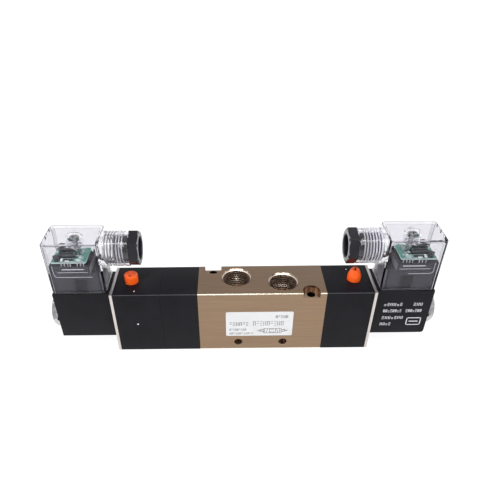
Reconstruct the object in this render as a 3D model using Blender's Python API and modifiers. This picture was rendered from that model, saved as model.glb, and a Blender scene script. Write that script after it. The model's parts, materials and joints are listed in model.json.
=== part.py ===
"""Double-solenoid, five-port directional valve, as an assembly of separate pieces.

Frame: +X along the spool, +Z up, the ported face on top.  The origin is under
the middle of the whole valve, on the plane it rests on.  Both solenoid ends are
the same set of pieces: each is laid out on the right and hangs on an empty, and
the left empty is turned half round about Z.
"""
import math
import bmesh
import bpy
from mathutils import Matrix

MM = 0.001

# ---- driving dimensions, millimetres ---------------------------------------
DEPTH = 27.0            # body and end blocks, front to back
HEIGHT = 40.0           # body and end blocks
BODY_X0, BODY_X1 = -24.75, 45.25
BODY_MID = (BODY_X0 + BODY_X1) / 2
FACE_GAP = 0.05         # each side of a flat joint between two blocks
Z_SPOOL = 20.0          # spool axis
BORE_R = 7.5            # spool bore
GALLERY_R = 9.0         # annular grooves at the five ports
GALLERY_W = 4.6
GALLERIES = (-23.0, -13.0, 0.0, 13.0, 23.0)     # from the body's middle
STROKE = 4.0            # spool travel each way from centre
PORT_R = 8.35           # G3/8 thread, major radius
EXH_R = 6.58            # G1/4 thread, major radius
PORT_DEPTH = 10.5
PORT_A = (-3.35, 2.5)   # top ports stand a little off the centre line
PORT_B = (22.45, -2.0)
BORE_PORTS = ((BODY_MID, PORT_R), (BODY_MID - 23.0, EXH_R), (BODY_MID + 23.0, EXH_R))
FIX_HOLES = ((-16.55, 10.75), (37.05, -10.75))    # vertical fixing holes, from above
FIX_R, FIX_SINK_R, FIX_SINK = 2.3, 4.6, 2.8
SIDE_HOLES = (-2.55, 23.05)                     # fixing holes through the depth
SIDE_Z, SIDE_R = 5.2, 2.2
LABEL = (-9.55, 28.05, 10.1, 27.6)              # x0, x1, z0, z1 on the front face
SPRING_HOUSING = 20.5   # length of the centring-spring housing (left end only)

PILOT_A0, PILOT_A1 = 45.25, 70.75               # pilot block, distance from middle
PLATE_T = 1.7
COIL_A0, COIL_A1 = 72.55, 103.95
COIL_Z0, COIL_Z1, COIL_HALF = 9.2, 39.1, 11.0
Z_TUBE = 20.5           # armature tube axis
BUTTON_A = 61.9         # manual override, distance from middle
BUTTON_R = 3.75
# how high each button stands, and the outline of its head: radius, height
BUTTON_HEADS = {"left": (44.6, [(0.0, 44.6), (2.95, 44.6), (3.75, 43.8)]),
                "right": (46.4, [(0.0, 46.4), (1.7, 46.4), (2.3, 45.9), (3.75, 42.6)])}
PISTON_R = 9.9
SCREW_A, SCREW_B = (9.5, 35.0), (-9.5, 5.0)     # end-block screws: y, z
SCREW_R = 1.95

HOUSE_A0, HOUSE_A1 = 74.2, 103.9
HOUSE_HALF, HOUSE_Z0, HOUSE_Z1 = 10.9, 39.8, 70.0
WALL, OUTER_WALL = 1.8, 1.2
GLAND_Z, GLAND_R, GLAND_BORE = 61.4, 9.4, 7.7
GLAND_A0 = 59.7         # open end of the gland barrel
NUT_A0, NUT_A1, NUT_AF = 54.5, 59.6, 17.0
GROMMET_A1 = {"left": 67.8, "right": 71.9}
NUT_TURN = {"left": -20.0, "right": 10.0}       # how far each gland nut is screwed round
CONN_SCREW_A = 88.5

FINE, MEDIUM, COARSE = 24, 16, 12               # segments round a turn

# ---- clean start ------------------------------------------------------------
for old in list(bpy.data.objects):
    bpy.data.objects.remove(old, do_unlink=True)

PARTS = bpy.data.collections.new("solenoid_directional_valve")
CUTTERS = bpy.data.collections.new("cutters")
GUIDES = bpy.data.collections.new("guides")
for coll in (PARTS, CUTTERS, GUIDES):
    bpy.context.scene.collection.children.link(coll)


def material(name, rgb, rough, metal=0.0, alpha=1.0):
    mat = bpy.data.materials.new(name)
    mat.use_nodes = True
    shader = mat.node_tree.nodes["Principled BSDF"]
    shader.inputs["Base Color"].default_value = (*rgb, 1.0)
    shader.inputs["Roughness"].default_value = rough
    shader.inputs["Metallic"].default_value = metal
    shader.inputs["Alpha"].default_value = alpha
    mat.diffuse_color = (*rgb, alpha)
    return mat


MAT = {
    "anodised": material("anodised_champagne", (0.40, 0.30, 0.20), 0.35, 1.0),
    "black": material("black_block", (0.022, 0.021, 0.027), 0.45),
    "coil": material("coil_moulding", (0.018, 0.017, 0.021), 0.55),
    "plate": material("steel_plate", (0.55, 0.52, 0.50), 0.35, 1.0),
    "steel": material("steel", (0.60, 0.60, 0.62), 0.25, 1.0),
    "spring": material("spring_steel", (0.50, 0.50, 0.52), 0.30, 1.0),
    "spool": material("spool_aluminium", (0.75, 0.75, 0.77), 0.25, 1.0),
    "rubber": material("rubber", (0.02, 0.02, 0.02), 0.8),
    "orange": material("orange_plastic", (0.85, 0.12, 0.03), 0.45),
    "clear": material("clear_plastic", (0.90, 0.90, 0.93), 0.05, 0.0, 0.35),
    "insert": material("terminal_insert", (0.07, 0.07, 0.08), 0.5),
    "board": material("circuit_board", (0.05, 0.28, 0.20), 0.45),
    "nut": material("gland_nut_plastic", (0.03, 0.03, 0.035), 0.4),
    "paper": material("label_film", (0.88, 0.88, 0.88), 0.5),
    "piston": material("piston_plastic", (0.85, 0.84, 0.80), 0.5),
}


# ---- modelling helpers ------------------------------------------------------
def finish(obj, mat, parent, cutter, smooth):
    if parent is not None:
        obj.parent = parent
    if cutter:
        CUTTERS.objects.link(obj)
        obj.hide_render = True
        obj.display_type = "WIRE"
    else:
        PARTS.objects.link(obj)
        obj.data.materials.append(MAT[mat])
    if smooth and obj.type == "MESH" and len(obj.data.polygons):
        obj.data.shade_smooth()
        obj.data.set_sharp_from_angle(angle=math.radians(35))
    return obj


def block(name, x, y, z, mat=None, parent=None, cutter=False, bevel=0.0, segments=1):
    """A box from three (low, high) spans in millimetres."""
    mesh = bpy.data.meshes.new(name)
    bm = bmesh.new()
    bmesh.ops.create_cube(bm, size=1.0)
    bmesh.ops.scale(bm, vec=[(s[1] - s[0]) * MM for s in (x, y, z)], verts=bm.verts)
    bm.to_mesh(mesh)
    bm.free()
    obj = bpy.data.objects.new(name, mesh)
    obj.location = [(s[0] + s[1]) / 2 * MM for s in (x, y, z)]
    finish(obj, mat, parent, cutter, False)
    if bevel:
        mod = obj.modifiers.new("edges", "BEVEL")
        mod.width = bevel * MM
        mod.segments = segments
        mod.limit_method = "ANGLE"
    return obj


ALONG = {"X": (0.0, math.pi / 2, 0.0), "Y": (-math.pi / 2, 0.0, 0.0), "Z": (0.0, 0.0, 0.0)}


def turned(name, profile, axis="X", at=(0.0, 0.0, 0.0), mat=None, parent=None,
           cutter=False, steps=MEDIUM):
    """A turned solid.  profile is (radius, distance along the axis), listed from
    the far end down the outer side; it closes on itself if it misses the axis."""
    mesh = bpy.data.meshes.new(name)
    points = [(r * MM, 0.0, t * MM) for r, t in profile]
    edges = [(i, i + 1) for i in range(len(points) - 1)]
    if profile[0][0] > 0:
        edges.append((len(points) - 1, 0))
    mesh.from_pydata(points, edges, [])
    obj = bpy.data.objects.new(name, mesh)
    obj.location = [c * MM for c in at]
    obj.rotation_euler = ALONG[axis]
    finish(obj, mat, parent, cutter, False)
    mod = obj.modifiers.new("turn", "SCREW")
    mod.axis = "Z"
    mod.angle = 2 * math.pi
    mod.steps = mod.render_steps = steps
    mod.use_merge_vertices = True
    mod.merge_threshold = 0.00001
    mod.use_smooth_shade = True
    return obj


def rod(name, r, t0, t1, **kw):
    """A plain round bar, or a drill when it is a cutter."""
    return turned(name, [(0.0, t1), (r, t1), (r, t0), (0.0, t0)], **kw)


def ring(name, r_in, r_out, t0, t1, **kw):
    """A seal of four-sided section that narrows outwards, like a lip or pressed ring."""
    c = 0.15 * (t1 - t0)
    return turned(name, [(r_out, t1 - c), (r_out, t0 + c), (r_in, t0), (r_in, t1)], **kw)


def hexagon(name, flats, t0, t1, at, mat, parent, turn=0.0):
    """A hexagonal prism along X.  At turn 0 it has corners to the front and back;
    turn is in degrees, from +Y towards +Z."""
    mesh = bpy.data.meshes.new(name)
    bm = bmesh.new()
    r = flats / math.sqrt(3.0) * MM
    bmesh.ops.create_cone(bm, cap_ends=True, segments=6, radius1=r, radius2=r,
                          depth=(t1 - t0) * MM,
                          matrix=Matrix.Translation((0, 0, (t0 + t1) / 2 * MM))
                          @ Matrix.Rotation(math.radians(turn), 4, "Z"))
    bm.to_mesh(mesh)
    bm.free()
    obj = bpy.data.objects.new(name, mesh)
    obj.location = [c * MM for c in at]
    obj.rotation_euler = ALONG["X"]
    return finish(obj, mat, parent, False, False)


def spring(name, r, wire, t0, t1, turns, axis, at, parent=None, per_turn=9):
    """A compression spring whose closed end turns lie flat on both seats."""
    curve = bpy.data.curves.new(name, "CURVE")
    curve.dimensions = "3D"
    curve.bevel_depth = wire * MM
    curve.bevel_resolution = 0
    curve.use_fill_caps = True
    spline = curve.splines.new("POLY")
    count = int(turns * per_turn) + 1
    spline.points.add(count - 1)
    lo, hi = t0 + wire * 1.1, t1 - wire * 1.1
    for i in range(count):
        share = i / (count - 1)
        turn = share * turns
        rise = min(max((turn - 0.4) / (turns - 0.8), 0.0), 1.0)
        ang = 2 * math.pi * turn
        spline.points[i].co = (r * math.cos(ang) * MM, r * math.sin(ang) * MM,
                               (lo + (hi - lo) * (0.12 * share + 0.88 * rise)) * MM, 1.0)
    obj = bpy.data.objects.new(name, curve)
    obj.location = [c * MM for c in at]
    obj.rotation_euler = ALONG[axis]
    if parent is not None:
        obj.parent = parent
    PARTS.objects.link(obj)
    curve.materials.append(MAT["spring"])
    return obj


def boolean(obj, other, operation):
    mod = obj.modifiers.new(operation.lower(), "BOOLEAN")
    mod.operation = operation
    mod.object = other
    mod.solver = "EXACT"


def cut(obj, *cutters):
    for other in cutters:
        boolean(obj, other, "DIFFERENCE")


def join(obj, *others):
    for other in others:
        boolean(obj, other, "UNION")


HALF = DEPTH / 2
SPOOL_AT = (BODY_MID, 0.0, Z_SPOOL)

# ---- valve body -------------------------------------------------------------
body = block("valve_body", (BODY_X0, BODY_X1), (-HALF, HALF), (0.0, HEIGHT), "anodised")
half_len = (BODY_X1 - BODY_X0) / 2
profile = [(0.0, half_len + 1), (BORE_R, half_len + 1)]
for g in reversed(GALLERIES):
    hi, lo = g + GALLERY_W / 2, g - GALLERY_W / 2
    profile += [(BORE_R, hi), (GALLERY_R, hi), (GALLERY_R, lo), (BORE_R, lo)]
profile += [(BORE_R, -half_len - 1), (0.0, -half_len - 1)]
cut(body, turned("cut_bore", profile, "X", SPOOL_AT, cutter=True))
for tag, (px, py) in (("a", PORT_A), ("b", PORT_B)):
    cut(body, turned("cut_port_" + tag, [
        (0.0, HEIGHT + 1), (PORT_R + 1.35, HEIGHT + 1), (PORT_R - 0.65, HEIGHT - 1),
        (PORT_R - 0.65, HEIGHT - PORT_DEPTH), (4.0, HEIGHT - PORT_DEPTH),
        (4.0, Z_SPOOL + BORE_R + 0.5), (0.0, Z_SPOOL + BORE_R + 0.5)],
        "Z", (px, py, 0.0), cutter=True, steps=FINE))
for i, (px, pr) in enumerate(BORE_PORTS):
    cut(body, turned("cut_lower_port_%d" % i, [
        (0.0, Z_SPOOL - BORE_R - 0.5), (4.0, Z_SPOOL - BORE_R - 0.5), (4.0, PORT_DEPTH),
        (pr - 0.65, PORT_DEPTH), (pr - 0.65, 1.0), (pr + 1.35, -1.0), (0.0, -1.0)],
        "Z", (px, 0.0, 0.0), cutter=True, steps=20))
for i, (px, py) in enumerate(FIX_HOLES):
    cut(body, turned("cut_fixing_%d" % i, [
        (0.0, HEIGHT + 1), (FIX_SINK_R, HEIGHT + 1), (FIX_SINK_R, HEIGHT - FIX_SINK),
        (FIX_R, HEIGHT - FIX_SINK), (FIX_R, -1.0), (0.0, -1.0)],
        "Z", (px, py, 0.0), cutter=True, steps=COARSE))
    # the sink runs on, at its full width, out through the nearest long side
    side_y = sorted((py, math.copysign(HALF + 1, py)))
    cut(body, block("cut_fixing_side_%d" % i, (px - FIX_SINK_R, px + FIX_SINK_R), side_y,
                    (HEIGHT - FIX_SINK, HEIGHT + 1), cutter=True))
for i, px in enumerate(SIDE_HOLES):
    cut(body, rod("cut_side_%d" % i, SIDE_R, -HALF - 1, HALF + 1, axis="Y",
                  at=(px, 0.0, SIDE_Z), cutter=True, steps=COARSE))
cut(body, block("cut_label", (LABEL[0] - 0.1, LABEL[1] + 0.1), (-HALF - 1, -HALF + 0.25),
                (LABEL[2] - 0.1, LABEL[3] + 0.1), cutter=True))

block("label_plate", (LABEL[0], LABEL[1]), (-HALF + 0.02, -HALF + 0.2),
      (LABEL[2], LABEL[3]), "paper")

# ---- spool, seals and centring spring group ---------------------------------
SPOOL_R, NECK_R, GROOVE_R, SEAL_W = BORE_R - 0.07, 4.2, 5.9, 1.5
LAND = 4.2              # half length of a working land
SEAL_OFF = 3.1          # seal from the middle of its land
END_IN, END_OUT, END_SEAL = 28.8, 31.9, 30.2


def land(lo, hi, seals):
    """Outline of one land, from its right edge to its left edge."""
    pts = [(NECK_R, hi), (SPOOL_R, hi)]
    for s in sorted(seals, reverse=True):
        pts += [(SPOOL_R, s + SEAL_W / 2), (GROOVE_R, s + SEAL_W / 2),
                (GROOVE_R, s - SEAL_W / 2), (SPOOL_R, s - SEAL_W / 2)]
    return pts + [(SPOOL_R, lo), (NECK_R, lo)]


spool_end = half_len - 0.5
spool_profile = [(0.0, spool_end), (NECK_R, spool_end)]
spool_profile += land(END_IN, END_OUT, [END_SEAL])
spool_profile += land(13 - LAND, 13 + LAND, [13 - SEAL_OFF, 13 + SEAL_OFF])
spool_profile += land(-13 - LAND, -13 + LAND, [-13 - SEAL_OFF, -13 + SEAL_OFF])
spool_profile += land(-END_OUT, -END_IN, [-END_SEAL])
spool_profile += [(NECK_R, -32.4), (0.0, -32.4)]
turned("spool", spool_profile, "X", SPOOL_AT, "spool")
for i, s in enumerate((-END_SEAL, -13 - SEAL_OFF, -13 + SEAL_OFF, 13 - SEAL_OFF,
                       13 + SEAL_OFF, END_SEAL)):
    ring("spool_seal_%d" % (i + 1), GROOVE_R + 0.06, BORE_R - 0.03, s - SEAL_W / 2 + 0.08,
         s + SEAL_W / 2 - 0.08, axis="X", at=SPOOL_AT, mat="rubber")

SH_X0, SH_X1 = -PILOT_A0, BODY_X0
WALL_X = SH_X0 + 1.6    # inside of the housing's end wall
housing = block("spring_housing", (SH_X0 + FACE_GAP, SH_X1 - FACE_GAP), (-HALF, HALF),
                (0.0, HEIGHT), "black")
cut(housing, turned("cut_spring_chamber", [
    (0.0, SH_X1 + 1), (10.5, SH_X1 + 1), (10.5, WALL_X), (4.4, WALL_X), (4.4, SH_X0 - 1),
    (0.0, SH_X0 - 1)], "X", (0.0, 0.0, Z_SPOOL), cutter=True))
COLLAR_X0, COLLAR_X1 = -35.2, -33.4
turned("centering_rod", [
    (0.0, BODY_MID - 32.5), (3.0, BODY_MID - 32.5), (3.0, COLLAR_X1), (10.0, COLLAR_X1),
    (10.0, COLLAR_X0), (3.0, COLLAR_X0), (3.0, -44.65), (0.0, -44.65)],
    "X", (0.0, 0.0, Z_SPOOL), "steel")
spring("centering_spring_inner", 8.9, 0.6, COLLAR_X1 + 0.05, SH_X1 - 0.05, 3.0, "X",
       (0.0, 0.0, Z_SPOOL), per_turn=10)
spring("centering_spring_outer", 8.9, 0.6, WALL_X + 0.05, COLLAR_X0 - 0.05, 3.0, "X",
       (0.0, 0.0, Z_SPOOL), per_turn=10)


# ---- one solenoid end, laid out on the right --------------------------------
def solenoid_end(side, turn, screw_reach):
    hub = bpy.data.objects.new(side + "_end", None)
    hub.rotation_euler = (0.0, 0.0, turn)
    GUIDES.objects.link(hub)

    def n(name):
        return side + "_" + name

    kw = {"parent": hub}
    ck = {"parent": hub, "cutter": True}
    spool_line = (0.0, 0.0, Z_SPOOL)
    tube_line = (0.0, 0.0, Z_TUBE)
    button_line = (BUTTON_A, 0.0, 0.0)

    # pilot block with piston bore, override bore, pilot nozzle and passages
    pilot = block(n("pilot_block"), (PILOT_A0 + FACE_GAP, PILOT_A1), (-HALF, HALF),
                  (0.0, HEIGHT), "black", hub)
    cut(pilot,
        rod(n("cut_piston"), PISTON_R + 0.1, PILOT_A0 - 1, 57.5, axis="X", at=spool_line, **ck),
        turned(n("cut_end_seal"), [(12.5, PILOT_A0 + 1.4), (12.5, PILOT_A0 - 1),
                                   (10.9, PILOT_A0 - 1), (10.9, PILOT_A0 + 1.4)],
               "X", spool_line, **ck),
        turned(n("cut_nozzle"), [(0.0, 71.5), (8.5, 71.5), (8.5, 69.4), (5.0, 69.4),
                                 (5.0, 67.6), (1.8, 67.6), (1.8, 68.6), (0.0, 68.6)],
               "X", tube_line, **ck),
        turned(n("cut_override"), [(0.0, HEIGHT + 1), (BUTTON_R + 0.2, HEIGHT + 1),
                                   (BUTTON_R + 0.2, 31.0), (2.35, 31.0), (2.35, 19.5),
                                   (0.0, 19.5)], "Z", button_line, **ck),
        rod(n("cut_passage"), 1.0, 56.5, 69.0, axis="X", at=tube_line, steps=8, **ck),
        rod(n("cut_breather"), 0.8, HALF - 3, HALF + 1, axis="Y", at=(59.1, 0.0, 19.3),
            steps=10, **ck),
        rod(n("cut_vent"), 0.6, HEIGHT - 2, HEIGHT + 1, axis="Z", at=(59.4, 9.5, 0.0),
            steps=10, **ck))
    for tag, (sy, sz) in (("a", SCREW_A), ("b", SCREW_B)):
        cut(pilot, rod(n("cut_screw_") + tag, SCREW_R + 0.15, PILOT_A0 - 1, PILOT_A1 + 1,
                       axis="X", at=(0.0, sy, sz), steps=COARSE, **ck))
    ring(n("end_seal"), 11.0, 12.4, PILOT_A0 + 0.1, PILOT_A0 + 1.3, axis="X", at=spool_line,
         mat="rubber", **kw)

    # pilot piston: a disc with a seal groove and a nose that bears on the spool
    nose = 44.8
    turned(n("piston"), [(0.0, 53.0), (PISTON_R, 53.0), (PISTON_R, 52.2), (8.1, 52.2),
                         (8.1, 50.4), (PISTON_R, 50.4), (PISTON_R, 49.5), (3.4, 49.5),
                         (3.4, nose), (0.0, nose)], "X", spool_line, "piston", **kw)
    ring(n("piston_seal"), 8.2, 9.95, 50.5, 52.1, axis="X", at=spool_line, mat="rubber", **kw)

    # metal end plate, tube, core and armature
    plate = block(n("end_plate"), (PILOT_A1 + 0.1, PILOT_A1 + PLATE_T), (-HALF, HALF),
                  (0.0, HEIGHT), "plate", hub)
    cut(plate, rod(n("cut_plate_tube"), 4.75, PILOT_A1 - 1, PILOT_A1 + 4, axis="X",
                   at=tube_line, **ck))
    for tag, (sy, sz) in (("a", SCREW_A), ("b", SCREW_B)):
        face = PILOT_A1 + PLATE_T
        cut(plate, turned(n("cut_sink_") + tag, [
            (0.0, face + 0.5), (3.95, face + 0.5), (2.15, face - 1.3), (2.15, face - 3),
            (0.0, face - 3)], "X", (0.0, sy, sz), steps=COARSE, **ck))
        screw = turned(n("block_screw_") + tag, [
            (0.0, face - 0.1), (3.2, face - 0.1), (SCREW_R, face - 1.35),
            (SCREW_R, screw_reach), (0.0, screw_reach)],
            "X", (0.0, sy, sz), "steel", steps=COARSE, **kw)
        cut(screw, rod(n("cut_key_") + tag, 1.2, face - 1.3, face + 1, axis="X",
                       at=(0.0, sy, sz), steps=6, **ck))
    turned(n("armature_tube"), [(4.6, 103.6), (4.6, 70.6), (8.2, 70.6), (8.2, 69.5),
                                (4.1, 69.5), (4.1, 103.6)], "X", tube_line, "steel", **kw)
    turned(n("fixed_core"), [(0.0, 108.7), (3.0, 108.7), (3.0, 103.7), (4.02, 103.7),
                             (4.02, 92.2), (1.9, 92.2), (1.9, 94.2), (0.0, 94.2)],
           "X", tube_line, "steel", **kw)
    turned(n("armature"), [(0.0, 85.0), (1.9, 85.0), (1.9, 91.0), (3.95, 91.0), (3.95, 70.4),
                           (2.6, 69.6), (2.6, 68.75), (0.0, 68.75)],
           "X", tube_line, "steel", **kw)
    spring(n("armature_spring"), 1.4, 0.22, 85.05, 94.15, 4.5, "X", tube_line, hub, 8)

    # coil: a moulded block with a bore, three blades and a screw socket on top
    coil = block(n("coil"), (COIL_A0, COIL_A1), (-COIL_HALF, COIL_HALF), (COIL_Z0, COIL_Z1),
                 "coil", hub, bevel=0.7)
    blades = [((81.1, 81.9), (-3.1, 3.1)), ((95.1, 95.9), (-3.1, 3.1)),
              ((85.4, 91.6), (5.7, 6.5))]
    for i, (bx, by) in enumerate(blades):
        join(coil, block(n("blade_%d") % i, bx, by, (COIL_Z1 - 2, COIL_Z1 + 9), **ck))
    cut(coil, rod(n("cut_coil_bore"), 4.8, COIL_A0 - 1, COIL_A1 + 1, axis="X", at=tube_line,
                  **ck),
        rod(n("cut_coil_screw"), 1.65, 31.5, COIL_Z1 + 1, axis="Z",
            at=(CONN_SCREW_A, 0.0, 0.0), steps=12, **ck))
    nut = hexagon(n("coil_nut"), 17.0, COIL_A1 + 0.1, 108.2, tube_line, "steel", hub)
    cut(nut, rod(n("cut_nut_bore"), 3.15, 100, 112, axis="X", at=tube_line, steps=MEDIUM, **ck))

    # connector gasket, insert and board
    gasket = block(n("connector_gasket"), (HOUSE_A0 + 0.4, HOUSE_A1 - 0.4), (-10.5, 10.5),
                   (COIL_Z1 + 0.1, HOUSE_Z0 - 0.1), "rubber", hub)
    insert = block(n("connector_insert"), (HOUSE_A0 + WALL + 0.2, HOUSE_A1 - OUTER_WALL - 0.2),
                   (-HOUSE_HALF + WALL + 0.2, HOUSE_HALF - WALL - 0.2),
                   (HOUSE_Z0 + 0.1, 51.5), "insert", hub)
    join(insert, block(n("insert_step"), (80.6, HOUSE_A1 - OUTER_WALL - 0.2),
                       (-HOUSE_HALF + WALL + 0.2, HOUSE_HALF - WALL - 0.2), (50.0, 55.7), **ck))
    for i, (bx, by) in enumerate(blades):
        pocket = block(n("cut_blade_%d") % i, (bx[0] - 0.2, bx[1] + 0.2),
                       (by[0] - 0.2, by[1] + 0.2), (38.0, COIL_Z1 + 9.4), **ck)
        cut(gasket, pocket)
        cut(insert, pocket)
    screw_way = rod(n("cut_screw_way"), 1.9, 38.0, 60.0, axis="Z",
                    at=(CONN_SCREW_A, 0.0, 0.0), steps=12, **ck)
    cut(gasket, screw_way)
    cut(insert, screw_way)
    board = block(n("connector_board"), (82.6, 101.0), (-7.7, 7.7), (57.0, 58.0), "board", hub)
    cut(board, screw_way)

    # clear housing: box, barrel, cavity, screw boss
    shell = block(n("connector_housing"), (HOUSE_A0, HOUSE_A1), (-HOUSE_HALF, HOUSE_HALF),
                  (HOUSE_Z0, HOUSE_Z1), "clear", hub, bevel=1.2)
    join(shell, rod(n("house_barrel"), GLAND_R, GLAND_A0, HOUSE_A0 + 1, axis="X",
                    at=(0.0, 0.0, GLAND_Z), steps=FINE, **ck))
    inner_y = HOUSE_HALF - WALL
    cut(shell, block(n("cut_cavity"), (HOUSE_A0 + WALL, HOUSE_A1 - OUTER_WALL),
                     (-inner_y, inner_y), (HOUSE_Z0 - 2, HOUSE_Z1 - WALL), **ck))
    join(shell, rod(n("house_boss"), 4.4, 64.0, HOUSE_Z1 - 1, axis="Z",
                    at=(CONN_SCREW_A, 0.0, 0.0), **ck))
    cut(shell,
        turned(n("cut_house_screw"), [(0.0, HOUSE_Z1 + 1), (3.4, HOUSE_Z1 + 1), (3.4, 66.8),
                                      (1.75, 66.8), (1.75, 62.0), (0.0, 62.0)],
               "Z", (CONN_SCREW_A, 0.0, 0.0), **ck),
        turned(n("cut_gland_bore"), [(0.0, HOUSE_A0 + 3), (5.5, HOUSE_A0 + 3),
                                     (5.5, 73.4), (GLAND_BORE, 72.0),
                                     (GLAND_BORE, GLAND_A0 - 1), (0.0, GLAND_A0 - 1)],
               "X", (0.0, 0.0, GLAND_Z), **ck))
    screw = turned(n("connector_screw"), [(0.0, 69.0), (2.4, 69.0), (2.8, 68.5), (2.8, 66.9),
                                          (1.45, 66.9), (1.45, 32.0), (0.0, 32.0)],
                   "Z", (CONN_SCREW_A, 0.0, 0.0), "steel", steps=COARSE, **kw)
    cut(screw, block(n("cut_screw_slot"), (CONN_SCREW_A - 4, CONN_SCREW_A + 4), (-0.35, 0.35),
                     (68.1, 70.0), **ck))

    # cable gland: rubber grommet and hexagonal pressure screw
    gland_line = (0.0, 0.0, GLAND_Z)
    depth = GROMMET_A1[side]
    turned(n("gland_grommet"), [(7.45, depth), (7.45, 63.0), (3.5, 63.0), (3.5, depth)], "X",
           gland_line, "rubber", **kw)
    nut = hexagon(n("gland_nut"), NUT_AF, NUT_A0, NUT_A1, gland_line, "nut", hub,
                  NUT_TURN[side])
    join(nut, rod(n("gland_shank"), 7.4, NUT_A1 - 1, 62.8, axis="X", at=gland_line, **ck))
    cut(nut, rod(n("cut_gland_hole"), 5.9, 50, 70, axis="X", at=gland_line, **ck))

    # manual override: slotted button on a stem, return spring and stem seal
    top, head = BUTTON_HEADS[side]
    button = turned(n("override_button"), head + [
        (BUTTON_R, 36.4), (2.2, 36.4), (2.2, 30.4), (1.6, 30.4), (1.6, 29.0), (2.2, 29.0),
        (2.2, 26.5), (0.0, 26.5)], "Z", button_line, "orange", **kw)
    cut(button, block(n("cut_button_slot"), (BUTTON_A - 0.5, BUTTON_A + 0.5), (-2.2, 2.2),
                      (top - 1.1, top + 1), **ck))
    spring(n("override_spring"), 3.2, 0.25, 31.05, 36.35, 3.0, "Z", button_line, hub, 9)
    ring(n("override_seal"), 1.7, 2.3, 29.1, 30.3, axis="Z", at=button_line, mat="rubber",
         **kw)


solenoid_end("right", 0.0, 40.2)
solenoid_end("left", math.pi, 19.7)

# threaded sockets for the end-block screws in the body, and their clearance
# holes through the spring housing, which lies between on the left
for tag, (sy, sz) in (("a", SCREW_A), ("b", SCREW_B)):
    cut(body, rod("cut_body_right_" + tag, SCREW_R + 0.15, 39.9, BODY_X1 + 1, axis="X",
                  at=(0.0, sy, sz), cutter=True, steps=COARSE))
    left = rod("cut_body_left_" + tag, SCREW_R + 0.15, SH_X0 - 1, -19.4, axis="X",
               at=(0.0, -sy, sz), cutter=True, steps=COARSE)
    cut(body, left)
    cut(housing, left)
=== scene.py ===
import json
import math
import bmesh
import bpy
from mathutils import Matrix, Vector


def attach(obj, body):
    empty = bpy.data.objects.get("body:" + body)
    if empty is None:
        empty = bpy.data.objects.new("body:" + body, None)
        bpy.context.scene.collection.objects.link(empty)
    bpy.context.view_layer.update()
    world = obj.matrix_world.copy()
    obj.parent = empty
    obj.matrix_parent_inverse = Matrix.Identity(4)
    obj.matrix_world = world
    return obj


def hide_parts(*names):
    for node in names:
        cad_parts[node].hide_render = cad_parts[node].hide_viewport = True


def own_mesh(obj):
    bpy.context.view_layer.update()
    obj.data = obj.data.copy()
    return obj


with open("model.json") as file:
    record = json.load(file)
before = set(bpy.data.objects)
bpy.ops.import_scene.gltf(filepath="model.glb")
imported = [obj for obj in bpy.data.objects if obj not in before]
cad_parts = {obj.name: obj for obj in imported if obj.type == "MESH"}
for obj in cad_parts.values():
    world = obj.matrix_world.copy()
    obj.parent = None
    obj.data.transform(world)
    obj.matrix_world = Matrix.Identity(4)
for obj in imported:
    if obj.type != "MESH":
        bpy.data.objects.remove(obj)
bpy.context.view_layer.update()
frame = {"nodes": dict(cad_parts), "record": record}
NODES = frame["nodes"]
SCENE = bpy.context.scene

# ============================================================ dimensions, mm
HALF, HEIGHT = 13.5, 40.0
BODY_X0, BODY_X1 = -24.75, 45.25
BODY_MID = (BODY_X0 + BODY_X1) / 2
Z_SPOOL, BORE_R, GALLERY_R, GALLERY_W = 20.0, 7.5, 9.0, 4.6
GALLERIES = (-23.0, -13.0, 0.0, 13.0, 23.0)
PORT_R, EXH_R, PORT_DEPTH, PORT_PITCH = 8.35, 6.58, 10.5, 1.337
PORT_A, PORT_B = (-3.35, 2.5), (22.45, -2.0)
FIX_HOLES = ((-16.55, 10.75), (37.05, -10.75))
FIX_R, FIX_SINK_R, FIX_SINK = 2.3, 4.6, 2.8
SIDE_HOLES, SIDE_Z, SIDE_R = (-2.55, 23.05), 5.2, 2.2
LABEL = (-9.55, 28.05, 10.1, 27.6)
PILOT_A0, PILOT_A1, PLATE_T = 45.25, 70.75, 1.7
COIL_A0, COIL_A1, COIL_Z0, COIL_Z1, COIL_HALF = 72.55, 103.95, 9.2, 39.1, 11.0
Z_TUBE, BUTTON_A, BUTTON_R, BUTTON_HOLE = 20.5, 61.9, 3.75, 3.95
SCREW_A, SCREW_B, SCREW_R = (9.5, 35.0), (-9.5, 5.0), 1.95
HOUSE_A0, HOUSE_A1, HOUSE_HALF = 74.2, 103.9, 10.9
HOUSE_Z0, HOUSE_Z1, WALL, OUTER_WALL = 39.8, 70.0, 1.8, 1.2
GLAND_Z, GLAND_R, GLAND_BORE, GLAND_A0 = 61.4, 9.4, 7.7, 59.7
NUT_A0, NUT_A1, NUT_AF = 54.5, 59.6, 17.0
NUT_TURN = {"left": -20.0, "right": 10.0}
GROMMET_A1 = {"left": 67.8, "right": 71.9}
SCREW_AT = 88.5
BOARD = (82.6, 101.0, -7.7, 7.7, 57.2, 58.0)
TURN = {"right": Matrix.Identity(4), "left": Matrix.Rotation(math.pi, 4, "Z"), None: Matrix.Identity(4)}


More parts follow.
